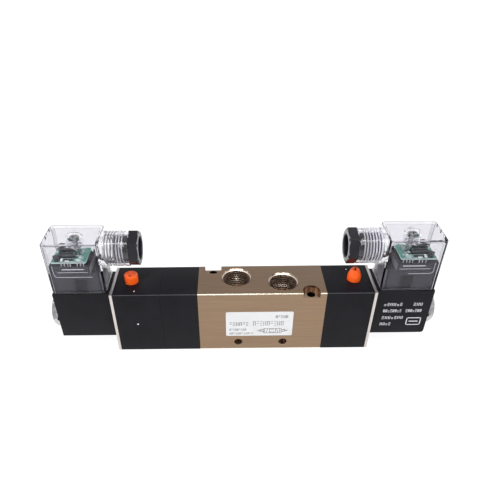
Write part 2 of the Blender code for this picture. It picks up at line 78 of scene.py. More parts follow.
# ================================================================= materials
class Mat:
    """A node material with helpers for layered procedural detail in millimetres."""

    def __init__(self, name):
        self.mat = bpy.data.materials.new(name)
        self.mat.use_nodes = True
        self.t = self.mat.node_tree
        self.t.nodes.clear()
        self.out = self.n("ShaderNodeOutputMaterial")
        self.p = self.n("ShaderNodeBsdfPrincipled")
        self.link(self.p.outputs[0], self.out.inputs[0])
        self.tc = self.n("ShaderNodeTexCoord")

    def n(self, kind, **props):
        node = self.t.nodes.new(kind)
        for k, v in props.items():
            setattr(node, k, v)
        return node

    def link(self, a, b):
        self.t.links.new(a, b)

    def set(self, **vals):
        names = {"rough": "Roughness", "metal": "Metallic", "ior": "IOR", "spec": "Specular IOR Level",
                 "coat": "Coat Weight", "coat_rough": "Coat Roughness", "trans": "Transmission Weight",
                 "alpha": "Alpha", "aniso": "Anisotropic"}
        for k, v in vals.items():
            if k == "color":
                self.p.inputs["Base Color"].default_value = (*v, 1.0)
            else:
                self.p.inputs[names[k]].default_value = v
        return self

    def coords(self, scale=(1, 1, 1), offset=(0, 0, 0)):
        m = self.n("ShaderNodeMapping")
        m.inputs["Scale"].default_value = [1000.0 * s for s in scale]
        m.inputs["Location"].default_value = offset
        self.link(self.tc.outputs["Object"], m.inputs["Vector"])
        return m.outputs[0]

    def noise(self, freq, scale=(1, 1, 1), detail=3.0, rough=0.55, offset=(0, 0, 0)):
        """freq is in cycles a millimetre."""
        node = self.n("ShaderNodeTexNoise")
        node.inputs["Scale"].default_value = freq
        node.inputs["Detail"].default_value = detail
        node.inputs["Roughness"].default_value = rough
        self.link(self.coords(scale, offset), node.inputs["Vector"])
        return node.outputs["Fac"]

    def ramp(self, fac, stops):
        node = self.n("ShaderNodeValToRGB")
        els = node.color_ramp.elements
        while len(els) < len(stops):
            els.new(0.5)
        for e, (pos, col) in zip(els, stops):
            e.position = pos
            e.color = (*col, 1.0) if len(col) == 3 else col
        self.link(fac, node.inputs[0])
        return node.outputs[0]

    def span(self, fac, lo, hi, a=0.3, b=0.7):
        node = self.n("ShaderNodeMapRange")
        for i, v in enumerate((a, b, lo, hi)):
            node.inputs[i + 1].default_value = v
        self.link(fac, node.inputs[0])
        return node.outputs[0]

    def math(self, op, a, b):
        node = self.n("ShaderNodeMath", operation=op)
        for i, v in enumerate((a, b)):
            if isinstance(v, (int, float)):
                node.inputs[i].default_value = v
            else:
                self.link(v, node.inputs[i])
        return node.outputs[0]

    def mix(self, fac, a, b, blend="MIX"):
        node = self.n("ShaderNodeMix", data_type="RGBA", blend_type=blend)
        for i, v in ((0, fac), (6, a), (7, b)):
            if isinstance(v, (int, float)):
                node.inputs[i].default_value = v
            elif isinstance(v, tuple):
                node.inputs[i].default_value = (*v, 1.0)
            else:
                self.link(v, node.inputs[i])
        return node.outputs[2]

    def color(self, sock):
        self.link(sock, self.p.inputs["Base Color"])
        return self

    def rough(self, sock):
        self.link(sock, self.p.inputs["Roughness"])
        return self

    def bump(self, *layers):
        """layers of (height socket, depth in millimetres)"""
        last = None
        for height, depth in layers:
            node = self.n("ShaderNodeBump")
            node.inputs["Strength"].default_value = 1.0
            node.inputs["Distance"].default_value = depth * 0.001
            self.link(height, node.inputs["Height"])
            if last is not None:
                self.link(last, node.inputs["Normal"])
            last = node.outputs[0]
        self.link(last, self.p.inputs["Normal"])
        return self


def tint(rgb, k):
    return tuple(min(1.0, c * k) for c in rgb)


def brushed(name, rgb, rough, spread=0.16, grain_depth=0.003, warm=None, metal=1.0, spec=0.5):
    """Metal brushed along X: long fine lines and slow blotches of tone."""
    m = Mat(name).set(metal=metal, spec=spec)
    lines = m.noise(6.0, (0.02, 1.0, 1.0), 4.0, 0.7)
    broad = m.noise(0.9, (0.03, 1.0, 1.0), 3.0, 0.6, (3, 7, 1))
    cloud = m.noise(0.05, (1, 1, 1), 2.0, 0.5, (9, 2, 5))
    warm = warm or tint(rgb, 1.0)
    base = m.mix(m.span(cloud, 0.0, 1.0, 0.35, 0.65), rgb, warm)
    shade = m.span(lines, 1.0 - spread, 1.0 + spread, 0.25, 0.75)
    shade2 = m.span(broad, 1.0 - spread * 0.6, 1.0 + spread * 0.6, 0.3, 0.7)
    both = m.math("MULTIPLY", shade, shade2)
    m.color(m.mix(1.0, base, both, "MULTIPLY"))
    m.rough(m.span(lines, rough - 0.07, rough + 0.09, 0.25, 0.75))
    m.bump((lines, grain_depth), (broad, grain_depth * 1.5))
    return m.mat


def turned_metal(name, rgb, rough, spread=0.1):
    """Machined or plated metal: fine even grain, faint stains."""
    m = Mat(name).set(metal=1.0)
    fine = m.noise(5.0, (1, 1, 1), 3.0)
    cloud = m.noise(0.4, (1, 1, 1), 3.0, 0.6, (4, 4, 4))
    m.color(m.mix(m.span(cloud, 0.0, 1.0), tint(rgb, 1 - spread), tint(rgb, 1 + spread)))
    m.rough(m.span(cloud, rough - 0.05, rough + 0.1))
    m.bump((fine, 0.0015))
    return m.mat


def coated(name, rgb, rough, spec, brush=0.0, grain=0.004, grain_freq=4.0, spread=0.25):
    """Anodised or moulded dark surface: slow tone change, fine grain, rubbed spots."""
    m = Mat(name).set(spec=spec)
    scale = (0.04, 1, 1) if brush else (1, 1, 1)
    fine = m.noise(grain_freq, scale, 3.0, 0.6)
    cloud = m.noise(0.07, (1, 1, 1), 3.0, 0.55, (2, 8, 6))
    spots = m.noise(1.1, (0.5, 1, 1), 4.0, 0.65, (11, 3, 2))
    base = m.mix(m.span(cloud, 0.0, 1.0, 0.35, 0.65), tint(rgb, 1 - spread), tint(rgb, 1 + spread))
    rub = m.ramp(spots, [(0.0, (1, 1, 1)), (0.62, (1, 1, 1)), (0.8, (1.0, 1.0, 1.0))])
    tone = m.mix(m.span(fine, 0.0, 1.0), (0.86, 0.86, 0.86), (1.0, 1.0, 1.0))
    m.color(m.mix(1.0, m.mix(1.0, base, tone, "MULTIPLY"), rub, "MULTIPLY"))
    m.rough(m.math("ADD", m.span(spots, -0.05, 0.06), m.span(fine, rough - 0.03, rough + 0.03)))
    m.bump((fine, grain), (cloud, 0.02))
    return m.mat


def clear_plastic(name, ior, pale, dark, depth=0.012, coat=0.0):
    """Clear moulded polycarbonate; lamps shine through it onto what it covers."""
    m = Mat(name).set(trans=1.0, ior=ior, rough=0.03, spec=0.5, coat=coat, coat_rough=0.06)
    cloud = m.noise(0.15, (1, 1, 1), 2.0)
    flow = m.noise(0.35, (1, 1, 0.4), 2.0, 0.5, (5, 1, 7))
    m.color(m.mix(m.span(cloud, 0.0, 1.0), dark, pale))
    m.rough(m.span(cloud, 0.02, 0.05))
    m.bump((flow, depth))
    path = m.n("ShaderNodeLightPath")
    clear = m.n("ShaderNodeBsdfTransparent")
    clear.inputs[0].default_value = (0.93, 0.93, 0.945, 1.0)
    mixer = m.n("ShaderNodeMixShader")
    m.link(path.outputs["Is Shadow Ray"], mixer.inputs[0])
    m.link(m.p.outputs[0], mixer.inputs[1])
    m.link(clear.outputs[0], mixer.inputs[2])
    m.link(mixer.outputs[0], m.out.inputs[0])
    return m.mat


def thread_plastic(name="clear_polycarbonate_satin_painted_reflection", k=1.0):
    """Flanks of the moulded thread: satin, with a pale colour that is partly painted reflection, so they look pale
    against the dark inside.
    """
    m = Mat(name).set(trans=0.25, ior=1.3, spec=0.6)
    fine = m.noise(3.0, (1, 1, 1), 3.0)
    cloud = m.noise(0.25, (1, 1, 1), 3.0, 0.6, (3, 5, 1))
    m.color(m.mix(m.span(cloud, 0.0, 1.0), tint((0.50, 0.49, 0.54), k), tint((0.66, 0.65, 0.70), k)))
    m.rough(m.span(cloud, 0.15, 0.3))
    m.bump((fine, 0.006))
    return m.mat


def board_mask():
    """Green solder mask with paler copper traces under it and a woven edge."""
    m = Mat("solder_mask_green").set(spec=0.5)
    brick = m.n("ShaderNodeTexBrick")
    brick.offset = 0.5
    brick.inputs["Scale"].default_value = 0.55
    brick.inputs["Mortar Size"].default_value = 0.09
    brick.inputs["Mortar Smooth"].default_value = 0.15
    brick.inputs["Color1"].default_value = (0.032, 0.135, 0.108, 1)
    brick.inputs["Color2"].default_value = (0.040, 0.160, 0.128, 1)
    brick.inputs["Mortar"].default_value = (0.095, 0.28, 0.225, 1)
    m.link(m.coords((1, 1, 1)), brick.inputs["Vector"])
    cloud = m.noise(0.5)
    m.color(m.mix(m.span(cloud, 0.0, 0.35), brick.outputs["Color"], (0.070, 0.225, 0.18)))
    m.rough(m.span(cloud, 0.28, 0.42))
    m.bump((brick.outputs["Fac"], 0.03), (m.noise(3.0), 0.004))
    return m.mat


def paper():
    m = Mat("label_film").set(spec=0.4)
    cloud = m.noise(0.12, (1, 1, 1), 3.0)
    fine = m.noise(6.0)
    m.color(m.mix(m.span(cloud, 0.0, 1.0), (0.66, 0.66, 0.665), (0.735, 0.735, 0.73)))
    m.rough(m.span(cloud, 0.42, 0.55))
    m.bump((fine, 0.002))
    return m.mat


def ink(name, rgb):
    m = Mat(name).set(spec=0.3)
    fine = m.noise(3.0)
    m.color(m.mix(m.span(fine, 0.0, 1.0), tint(rgb, 0.85), tint(rgb, 1.2)))
    m.rough(m.span(fine, 0.5, 0.7))
    m.bump((fine, 0.002))
    return m.mat


def orange_plastic():
    m = Mat("orange_acetal").set(spec=0.32)
    cloud = m.noise(0.35, (1, 1, 1), 3.0)
    fine = m.noise(5.0)
    m.color(m.mix(m.span(cloud, 0.0, 1.0), (0.97, 0.10, 0.007), (1.0, 0.145, 0.012)))
    m.rough(m.span(cloud, 0.3, 0.45))
    m.bump((fine, 0.004), (cloud, 0.02))
    return m.mat


def rubber():
    m = Mat("black_rubber").set(spec=0.3)
    fine = m.noise(4.0)
    cloud = m.noise(0.3)
    m.color(m.mix(m.span(cloud, 0.0, 1.0), (0.012, 0.012, 0.013), (0.03, 0.03, 0.031)))
    m.rough(m.span(fine, 0.65, 0.85))
    m.bump((fine, 0.012))
    return m.mat


M = {
    "champagne": brushed("champagne_anodised", (0.298, 0.200, 0.128), 0.36, 0.13, 0.003, (0.285, 0.197, 0.131)),
    "cut": turned_metal("bare_cut_aluminium", (0.86, 0.72, 0.60), 0.28),
    "cut_painted_shade": turned_metal("thread_flank_painted_shade", (0.17, 0.13, 0.108), 0.4, 0.2),
    "rim": turned_metal("countersink", (0.37, 0.29, 0.23), 0.13, 0.05),
    "port_floor_painted_shade": turned_metal("drilled_floor_painted_shade", (0.14, 0.095, 0.07), 0.2, 0.1),
    "edge": turned_metal("edge_painted_highlight", (0.80, 0.71, 0.58), 0.22),
    "sink": turned_metal("sunk_hole_wall", (0.34, 0.235, 0.165), 0.22, 0.2),
    "block_painted_highlight": coated("black_anodised_painted_highlight", (0.03, 0.03, 0.034), 0.3, 0.5, brush=1.0),
    "block": coated("black_anodised", (0.0060, 0.0056, 0.0082), 0.5, 0.15, brush=1.0),
    "coil": coated("black_moulding", (0.0062, 0.0058, 0.0084), 0.48, 0.16, grain=0.006, grain_freq=2.5),
    "plate": brushed("brushed_end_plate", (0.60, 0.55, 0.53), 0.33, 0.12, 0.003, (0.66, 0.60, 0.58)),
    "nickel": turned_metal("nickel_plate", (0.49, 0.48, 0.475), 0.2, 0.3),
    "ball": turned_metal("polished_ball", (0.93, 0.92, 0.92), 0.25, 0.03),
    "steel": turned_metal("machined_steel", (0.55, 0.55, 0.57), 0.28),
    "spring": turned_metal("spring_wire", (0.45, 0.45, 0.47), 0.3),
    "spool": turned_metal("spool_metal", (0.78, 0.78, 0.80), 0.2, 0.05),
    "rubber": rubber(),
    "orange": orange_plastic(),
    "orange_slot_painted_shade": coated("orange_acetal_slot_painted_shade", (0.42, 0.022, 0.004), 0.5, 0.2, spread=0.1),
    "clear": clear_plastic("clear_polycarbonate", 1.18, (0.868, 0.863, 0.888), (0.838, 0.833, 0.858)),
    "clear_edge_painted_shade": clear_plastic("clear_polycarbonate_edge_painted_shade", 1.06, (0.71, 0.705, 0.74), (0.63, 0.625, 0.66)),
    "clear_barrel": clear_plastic("clear_polycarbonate_barrel", 1.2, (0.94, 0.935, 0.955), (0.90, 0.895, 0.92), 0.006, 0.6),
    "thread": thread_plastic(),
    # painted shade on the left thread's far flanks, painted light on the right's
    "thread_left": thread_plastic("clear_polycarbonate_satin_painted_shade_left", 0.3),
    "thread_right": thread_plastic("clear_polycarbonate_satin_painted_light_right", 1.35),
    "insert": coated("terminal_plastic", (0.060, 0.059, 0.067), 0.5, 0.18, grain_freq=2.0, spread=0.12),
    "insert_painted_shade": coated("terminal_plastic_painted_shade", (0.036, 0.036, 0.041), 0.5, 0.18, grain_freq=2.0, spread=0.12),
    "insert_side_painted_light": coated("terminal_plastic_side_painted_light", (0.20, 0.197, 0.21), 0.5, 0.2, grain_freq=2.0, spread=0.12),
    "insert_line": coated("terminal_plastic_rib_highlight", (0.50, 0.49, 0.53), 0.4, 0.5, grain_freq=2.0, spread=0.1),
    "edge_line": coated("clear_plastic_painted_shade_line", (0.10, 0.10, 0.108), 0.5, 0.2, grain_freq=2.0, spread=0.15),
    "pin": coated("terminal_pin", (0.46, 0.46, 0.49), 0.35, 0.5, grain_freq=2.0, spread=0.1),
    "board": board_mask(),
    "board_edge": coated("board_laminate", (0.50, 0.66, 0.60), 0.5, 0.4, grain_freq=3.0, spread=0.1),
    "nut": coated("gland_nut_plastic", (0.0095, 0.0095, 0.0128), 0.4, 0.3, grain_freq=3.0),
    "nut_end_painted_highlight": coated("gland_nut_end_painted_highlight", (0.24, 0.24, 0.25), 0.45, 0.4, grain_freq=3.0, spread=0.1),
    "paper": paper(),
    "ink": ink("grey_ink", (0.05, 0.05, 0.055)),
    "ink_pale": ink("pale_grey_ink", (0.13, 0.13, 0.14)),
    "ink_white": ink("white_ink", (0.66, 0.66, 0.69)),
    "piston": coated("acetal_white", (0.70, 0.69, 0.66), 0.45, 0.4, spread=0.04),
    "solder": turned_metal("tinned_solder", (0.74, 0.75, 0.77), 0.25),
    "dark_part": coated("component_black", (0.03, 0.03, 0.034), 0.4, 0.5),
    "pale_part": coated("component_beige", (0.52, 0.48, 0.40), 0.4, 0.5, spread=0.08),
    "lens": coated("indicator_lens", (0.72, 0.75, 0.75), 0.25, 0.5, spread=0.05),
    "lens_green": coated("indicator_window", (0.34, 0.52, 0.46), 0.25, 0.5, spread=0.12),
}


# ============================================================ mesh building
def temp(bm, name="tmp"):
    bmesh.ops.recalc_face_normals(bm, faces=bm.faces)
    mesh = bpy.data.meshes.new(name)
    bm.to_mesh(mesh)
    bm.free()
    obj = bpy.data.objects.new(name, mesh)
    SCENE.collection.objects.link(obj)
    return obj


def boolean(obj, ops):
    """ops: list of (cutter object, operation); everything is in millimetres here."""
    for cutter, op in ops:
        mod = obj.modifiers.new("b", "BOOLEAN")
        mod.operation = op
        mod.object = cutter
        mod.solver = "EXACT"
    bpy.context.view_layer.update()
    dg = bpy.context.evaluated_depsgraph_get()
    mesh = bpy.data.meshes.new_from_object(obj.evaluated_get(dg))
    obj.modifiers.clear()
    old = obj.data
    obj.data = mesh
    bpy.data.meshes.remove(old)
    for cutter, _ in ops:
        data = cutter.data
        bpy.data.objects.remove(cutter)
        if data.users == 0:
            bpy.data.meshes.remove(data)
    return obj


def cut(obj, *cutters):
    return boolean(obj, [(c, "DIFFERENCE") for c in cutters])


def place(obj, name, mat, body="frame", side=None, angle=32, replaces=(), slot=None):
    """Turns a millimetre object into a finished piece in the row frame."""
    obj.data.transform(TURN[side])
    obj.data.transform(Matrix.Scale(0.001, 4))
    obj.name = name
    obj.data.name = name
    painted = [p.material_index for p in obj.data.polygons]
    obj.data.materials.clear()
    for m in (mat if isinstance(mat, (list, tuple)) else [mat]):
        obj.data.materials.append(M[m])
    obj.data.polygons.foreach_set("material_index", painted)
    obj.data.shade_smooth()
    obj.data.set_sharp_from_angle(angle=math.radians(angle))
    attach(obj, body)
    if replaces:
        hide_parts(*replaces)
    return obj


def bm_box(x, y, z):
    bm = bmesh.new()
    bmesh.ops.create_cube(bm, size=1.0)
    bmesh.ops.scale(bm, vec=[s[1] - s[0] for s in (x, y, z)], verts=bm.verts)
    bmesh.ops.translate(bm, vec=[(s[0] + s[1]) / 2 for s in (x, y, z)], verts=bm.verts)
    return bm


def bevel(bm, width, seg=2, pick=None, profile=0.5):
    edges = [e for e in bm.edges if (pick is None or pick(e))]
    bmesh.ops.bevel(bm, geom=edges, offset=width, segments=seg, affect="EDGES", profile=profile,
                    clamp_overlap=True)
    return bm


def along(axis):
    def test(e):
        d = e.verts[1].co - e.verts[0].co
        return d.length > 1e-6 and abs(d.normalized()[axis]) > 0.999
    return test


def rbox(x, y, z, width=0.3, seg=2, pick=None, name="tmp"):
    bm = bm_box(x, y, z)
    if width:
        bevel(bm, width, seg, pick)
    return temp(bm, name)


def revolve(points, axis="X", at=(0, 0, 0), n=64, closed=False):
    """Surface of revolution from (radius, distance) points."""
    bm = bmesh.new()
    rows = []
    for r, t in points:
        if r < 1e-6:
            rows.append([bm.verts.new((0, 0, t))])
        else:
            rows.append([bm.verts.new((r * math.cos(2 * math.pi * k / n), r * math.sin(2 * math.pi * k / n), t))
                         for k in range(n)])
    pairs = list(zip(rows, rows[1:])) + ([(rows[-1], rows[0])] if closed else [])
    for a, b in pairs:
        for k in range(n):
            j = (k + 1) % n
            if len(a) == 1 and len(b) == 1:
                continue
            if len(a) == 1:
                bm.faces.new((a[0], b[k], b[j]))
            elif len(b) == 1:
                bm.faces.new((a[k], b[0], a[j]))
            else:
                bm.faces.new((a[k], b[k], b[j], a[j]))
    turn = {"X": Matrix.Rotation(math.pi / 2, 4, "Y"), "Y": Matrix.Rotation(-math.pi / 2, 4, "X"),
            "Z": Matrix.Identity(4)}[axis]
    bm.transform(Matrix.Translation(at) @ turn)
    return bm


def lathe(points, axis="X", at=(0, 0, 0), n=64, closed=None):
    if closed is None:
        closed = points[0][0] > 1e-6
    return temp(revolve(points, axis, at, n, closed))


def drill(r, t0, t1, axis, at, n=32):
    return lathe([(0, t0), (r, t0), (r, t1), (0, t1)], axis, at, n, False)


def thread_cutter(r_minor, r_major, pitch, t0, t1, mouth_t, mouth_r, axis, at, n=72, flat=0.14, crest=0.3):
    """A tap's envelope from its blind end t0 out through the surface at mouth_t, where a 45 degree
    countersink is mouth_r wide; flat and crest are the root's and the crest's shares of the pitch."""
    sgn = 1.0 if t1 > t0 else -1.0
    prof = [(0, t0), (r_minor, t0)]
    flank = (1.0 - flat - crest) / 2 * pitch
    t = t0 + sgn * 0.3 * pitch
    while (mouth_t - t) * sgn > pitch + (mouth_r - r_minor):
        marks = ((r_minor, 0), (r_major, flank), (r_major, flank + flat * pitch), (r_minor, 2 * flank + flat * pitch))
        prof += [(r, t + sgn * d) for r, d in marks]
        t += sgn * pitch
    lip = r_major - 0.3 if r_major - r_minor > 0.6 else r_minor
    prof += [(r_minor, mouth_t - sgn * (mouth_r - lip) - sgn * 0.35), (lip, mouth_t - sgn * (mouth_r - lip)),
             (mouth_r, mouth_t), (mouth_r, t1), (0, t1)]
    clean = [prof[0]]
    for p in prof[1:]:
        if (p[1] - clean[-1][1]) * sgn > -1e-6 or p[0] == 0 or p[1] == t0:
            clean.append(p)
    return lathe(clean, axis, at, n, False)


def hexagon(flats, t0, t1, at, turn=0.0, both=False, name="tmp"):
    """A hexagonal nut blank along X, corners chamfered by a turned cone; a corner points along
    Y, or so many degrees above it."""
    bm = bmesh.new()
    r = flats / math.sqrt(3.0)
    bmesh.ops.create_cone(bm, cap_ends=True, segments=6, radius1=r, radius2=r, depth=t1 - t0)
    first = max(bm.verts, key=lambda v: v.co.y)
    spin = math.pi / 2 - math.atan2(first.co.y, first.co.x) + math.radians(turn)
    bm.transform(Matrix.Rotation(spin, 4, "Z"))
    bm.transform(Matrix.Translation(at) @ Matrix.Rotation(math.pi / 2, 4, "Y")
                 @ Matrix.Translation((0, 0, (t0 + t1) / 2)))
    bevel(bm, 0.25, 2, along(0))
    obj = temp(bm, name)
    inner = flats / 2 - 0.15
    far = r + 1
    lo = [(0, t0), (inner, t0), (far, t0 + (far - inner) * 0.5)]
    hi = [(far, t1 - (far - inner) * 0.5), (inner, t1), (0, t1)] if both else [(far, t1), (0, t1)]
    env = lathe(lo + hi, "X", at, 96, False)
    return boolean(obj, [(env, "INTERSECT")])


def rod_piece(points, name, mat, axis, at, body, side=None, n=48, **kw):
    return place(lathe(points, axis, at, n), name, mat, body, side, **kw)


def tube(points, r, name="tmp", res=4, cyclic=False):
    curve = bpy.data.curves.new(name, "CURVE")
    curve.dimensions = "3D"
    curve.bevel_depth = r
    curve.bevel_resolution = res
    curve.use_fill_caps = True
    sp = curve.splines.new("POLY")
    sp.points.add(len(points) - 1)
    for p, c in zip(sp.points, points):
        p.co = (*c, 1.0)
    sp.use_cyclic_u = cyclic
    obj = bpy.data.objects.new(name, curve)
    SCENE.collection.objects.link(obj)
    bpy.context.view_layer.update()
    mesh = bpy.data.meshes.new_from_object(obj.evaluated_get(bpy.context.evaluated_depsgraph_get()))
    bm = bmesh.new()
    bm.from_mesh(mesh)
    bmesh.ops.remove_doubles(bm, verts=bm.verts, dist=1e-4)
    bpy.data.objects.remove(obj)
    bpy.data.meshes.remove(mesh)
    return temp(bm, name)


def merge(objs, name="merged"):
    bm = bmesh.new()
    for o in objs:
        bm.from_mesh(o.data)
        data = o.data
        bpy.data.objects.remove(o)
        bpy.data.meshes.remove(data)
    mesh = bpy.data.meshes.new(name)
    bm.to_mesh(mesh)
    bm.free()
    obj = bpy.data.objects.new(name, mesh)
    SCENE.collection.objects.link(obj)
    return obj


def paint_faces(obj, index, test):
    """Faces whose centre (millimetres) passes the test take another material slot."""
    for p in obj.data.polygons:
        if test(p.center, p.normal):
            p.material_index = index


# ================================================================ valve body
def build_body():
    bm = bm_box((BODY_X0 + 0.05, BODY_X1 - 0.05), (-HALF, HALF), (0, HEIGHT))
    bevel(bm, 0.55, 4, lambda e: along(0)(e) and e.verts[0].co.y < 0)
    bevel(bm, 0.18, 2, lambda e: along(0)(e) and min(v.co.y for v in e.verts) > HALF - 0.01)
    obj = temp(bm)
    at = (BODY_MID, 0, Z_SPOOL)
    half = 35.0
    prof = [(0, -half - 1), (BORE_R, -half - 1)]
    for g in GALLERIES:
        lo, hi = g - GALLERY_W / 2, g + GALLERY_W / 2
        prof += [(BORE_R, lo), (GALLERY_R - 0.3, lo), (GALLERY_R, lo + 0.3), (GALLERY_R, hi - 0.3),
                 (GALLERY_R - 0.3, hi), (BORE_R, hi)]
    prof += [(BORE_R, half + 1), (0, half + 1)]
    cutters = [lathe(prof, "X", at, 64, False)]
    for px, py in (PORT_A, PORT_B):
        cutters.append(thread_cutter(PORT_R - 0.7, PORT_R, PORT_PITCH, HEIGHT - PORT_DEPTH, HEIGHT + 0.6,
                                     HEIGHT, PORT_R + 0.2, "Z", (px, py, 0), 96, 0.1, 0.4))
        low = HEIGHT - PORT_DEPTH
        cutters.append(lathe([(0, low + 0.05), (PORT_R - 0.72, low + 0.05), (PORT_R - 0.72, low), (4.4, low - 0.9),
                              (4.0, low - 1.3), (4.0, Z_SPOOL + 4), (0, Z_SPOOL + 4)], "Z", (px, py, 0), 72, False))
    for px, pr in ((BODY_MID, PORT_R), (BODY_MID - 23, EXH_R), (BODY_MID + 23, EXH_R)):
        cutters.append(thread_cutter(pr - 0.7, pr, PORT_PITCH, PORT_DEPTH, -0.6, 0.0, pr + 0.2, "Z", (px, 0, 0), 72,
                                     0.1, 0.4))
        cutters.append(drill(4.0, PORT_DEPTH - 0.5, Z_SPOOL - 4, "Z", (px, 0, 0), 48))
    for px, py in FIX_HOLES:
        cutters.append(lathe([(0, HEIGHT + 1), (FIX_SINK_R + 0.02, HEIGHT + 1), (FIX_SINK_R, HEIGHT - FIX_SINK),
                              (FIX_R, HEIGHT - FIX_SINK), (FIX_R, 0.3), (FIX_R + 0.35, -0.05),
                              (FIX_R + 0.35, -1), (0, -1)], "Z", (px, py, 0), 64, False))
        cutters.append(rbox((px - FIX_SINK_R, px + FIX_SINK_R), sorted((py, math.copysign(HALF + 1, py))),
                            (HEIGHT - FIX_SINK, HEIGHT + 1), 0))
    for px in SIDE_HOLES:
        cutters.append(lathe([(0, -HALF - 1), (SIDE_R + 0.3, -HALF - 1), (SIDE_R + 0.3, -HALF - 0.01),
                              (SIDE_R, -HALF + 0.3), (SIDE_R, HALF - 0.3), (SIDE_R + 0.3, HALF + 0.01),
                              (SIDE_R + 0.3, HALF + 1), (0, HALF + 1)], "Y", (px, 0, SIDE_Z), 48, False))
    cutters.append(rbox((LABEL[0] - 0.06, LABEL[1] + 0.06), (-HALF - 1, -HALF + 0.25),
                        (LABEL[2] - 0.06, LABEL[3] + 0.06), 1.0, 5, along(1)))
    for sy, sz in (SCREW_A, SCREW_B):
        cutters.append(drill(SCREW_R + 0.12, 39.9, BODY_X1 + 1, "X", (0, sy, sz)))
        cutters.append(drill(SCREW_R + 0.12, BODY_X0 - 1, -19.4, "X", (0, -sy, sz)))
    cut(obj, *cutters)

    # the ports, bores and sinks were cut after anodising, so they are bare metal
    def bare(c, n):
        for px, py in (PORT_A, PORT_B):
            if math.hypot(c.x - px, c.y - py) < PORT_R + 0.45 and abs(n.z) < 0.9:
                return True
        for px, pr in ((BODY_MID, PORT_R), (BODY_MID - 23, EXH_R), (BODY_MID + 23, EXH_R)):
            if c.z < 12 and math.hypot(c.x - px, c.y) < pr + 0.45 and abs(n.z) < 0.9:
                return True
        return math.hypot(c.y, c.z - Z_SPOOL) < GALLERY_R + 0.1
    paint_faces(obj, 1, bare)

    # painted shade: the port threads' flanks take a much darker metal than the bright crests
    def flank(c, n):
        if abs(n.z) < 0.3 or HEIGHT - 0.9 < c.z or c.z < 0.9:
            return False
        if c.z > HEIGHT - PORT_DEPTH - 0.1:
            return any(math.hypot(c.x - px, c.y - py) < PORT_R + 0.02 for px, py in (PORT_A, PORT_B))
        return c.z < PORT_DEPTH + 0.1 and any(math.hypot(c.x - px, c.y) < pr + 0.02 for px, pr in (
            (BODY_MID, PORT_R), (BODY_MID - 23, EXH_R), (BODY_MID + 23, EXH_R)))
    paint_faces(obj, 4, flank)

    def in_port(c, n, lo, hi):
        return lo < c.z < hi and any(math.hypot(c.x - px, c.y - py) < PORT_R + 0.3 for px, py in (PORT_A, PORT_B))
    paint_faces(obj, 5, lambda c, n: in_port(c, n, HEIGHT - 0.55, HEIGHT - 0.02) and 0.5 < abs(n.z) < 0.9)
    # painted shade: the drilled floor and cone at a port's bottom take a very dark metal
    paint_faces(obj, 6, lambda c, n: in_port(c, n, HEIGHT - PORT_DEPTH - 1.35, HEIGHT - PORT_DEPTH + 0.08)
                and abs(n.z) > 0.5)

    # painted highlight: the front long bevels take a much brighter, glossier metal than the anodised faces
    def edge(c, n):
        return abs(n.x) < 0.05 and min(abs(n.y), abs(n.z)) > 0.15 and c.y < -HALF + 0.62 and not 0.7 < c.z < 39.3
    paint_faces(obj, 2, edge)

    def sink(c, n):
        return c.z > 5 and c.z < HEIGHT - 0.02 and any(
            abs(c.x - px) < FIX_SINK_R + 0.1 and (math.hypot(c.x - px, c.y - py) < FIX_SINK_R + 0.1
                                                  or abs(c.y) > abs(py) and abs(n.x) > 0.5)
            for px, py in FIX_HOLES)
    paint_faces(obj, 3, sink)
    return place(obj, "body_shell", ["champagne", "cut", "edge", "sink", "cut_painted_shade", "rim", "port_floor_painted_shade"], replaces=("valve_body",), slot="anodised",
                 angle=28)


build_body()


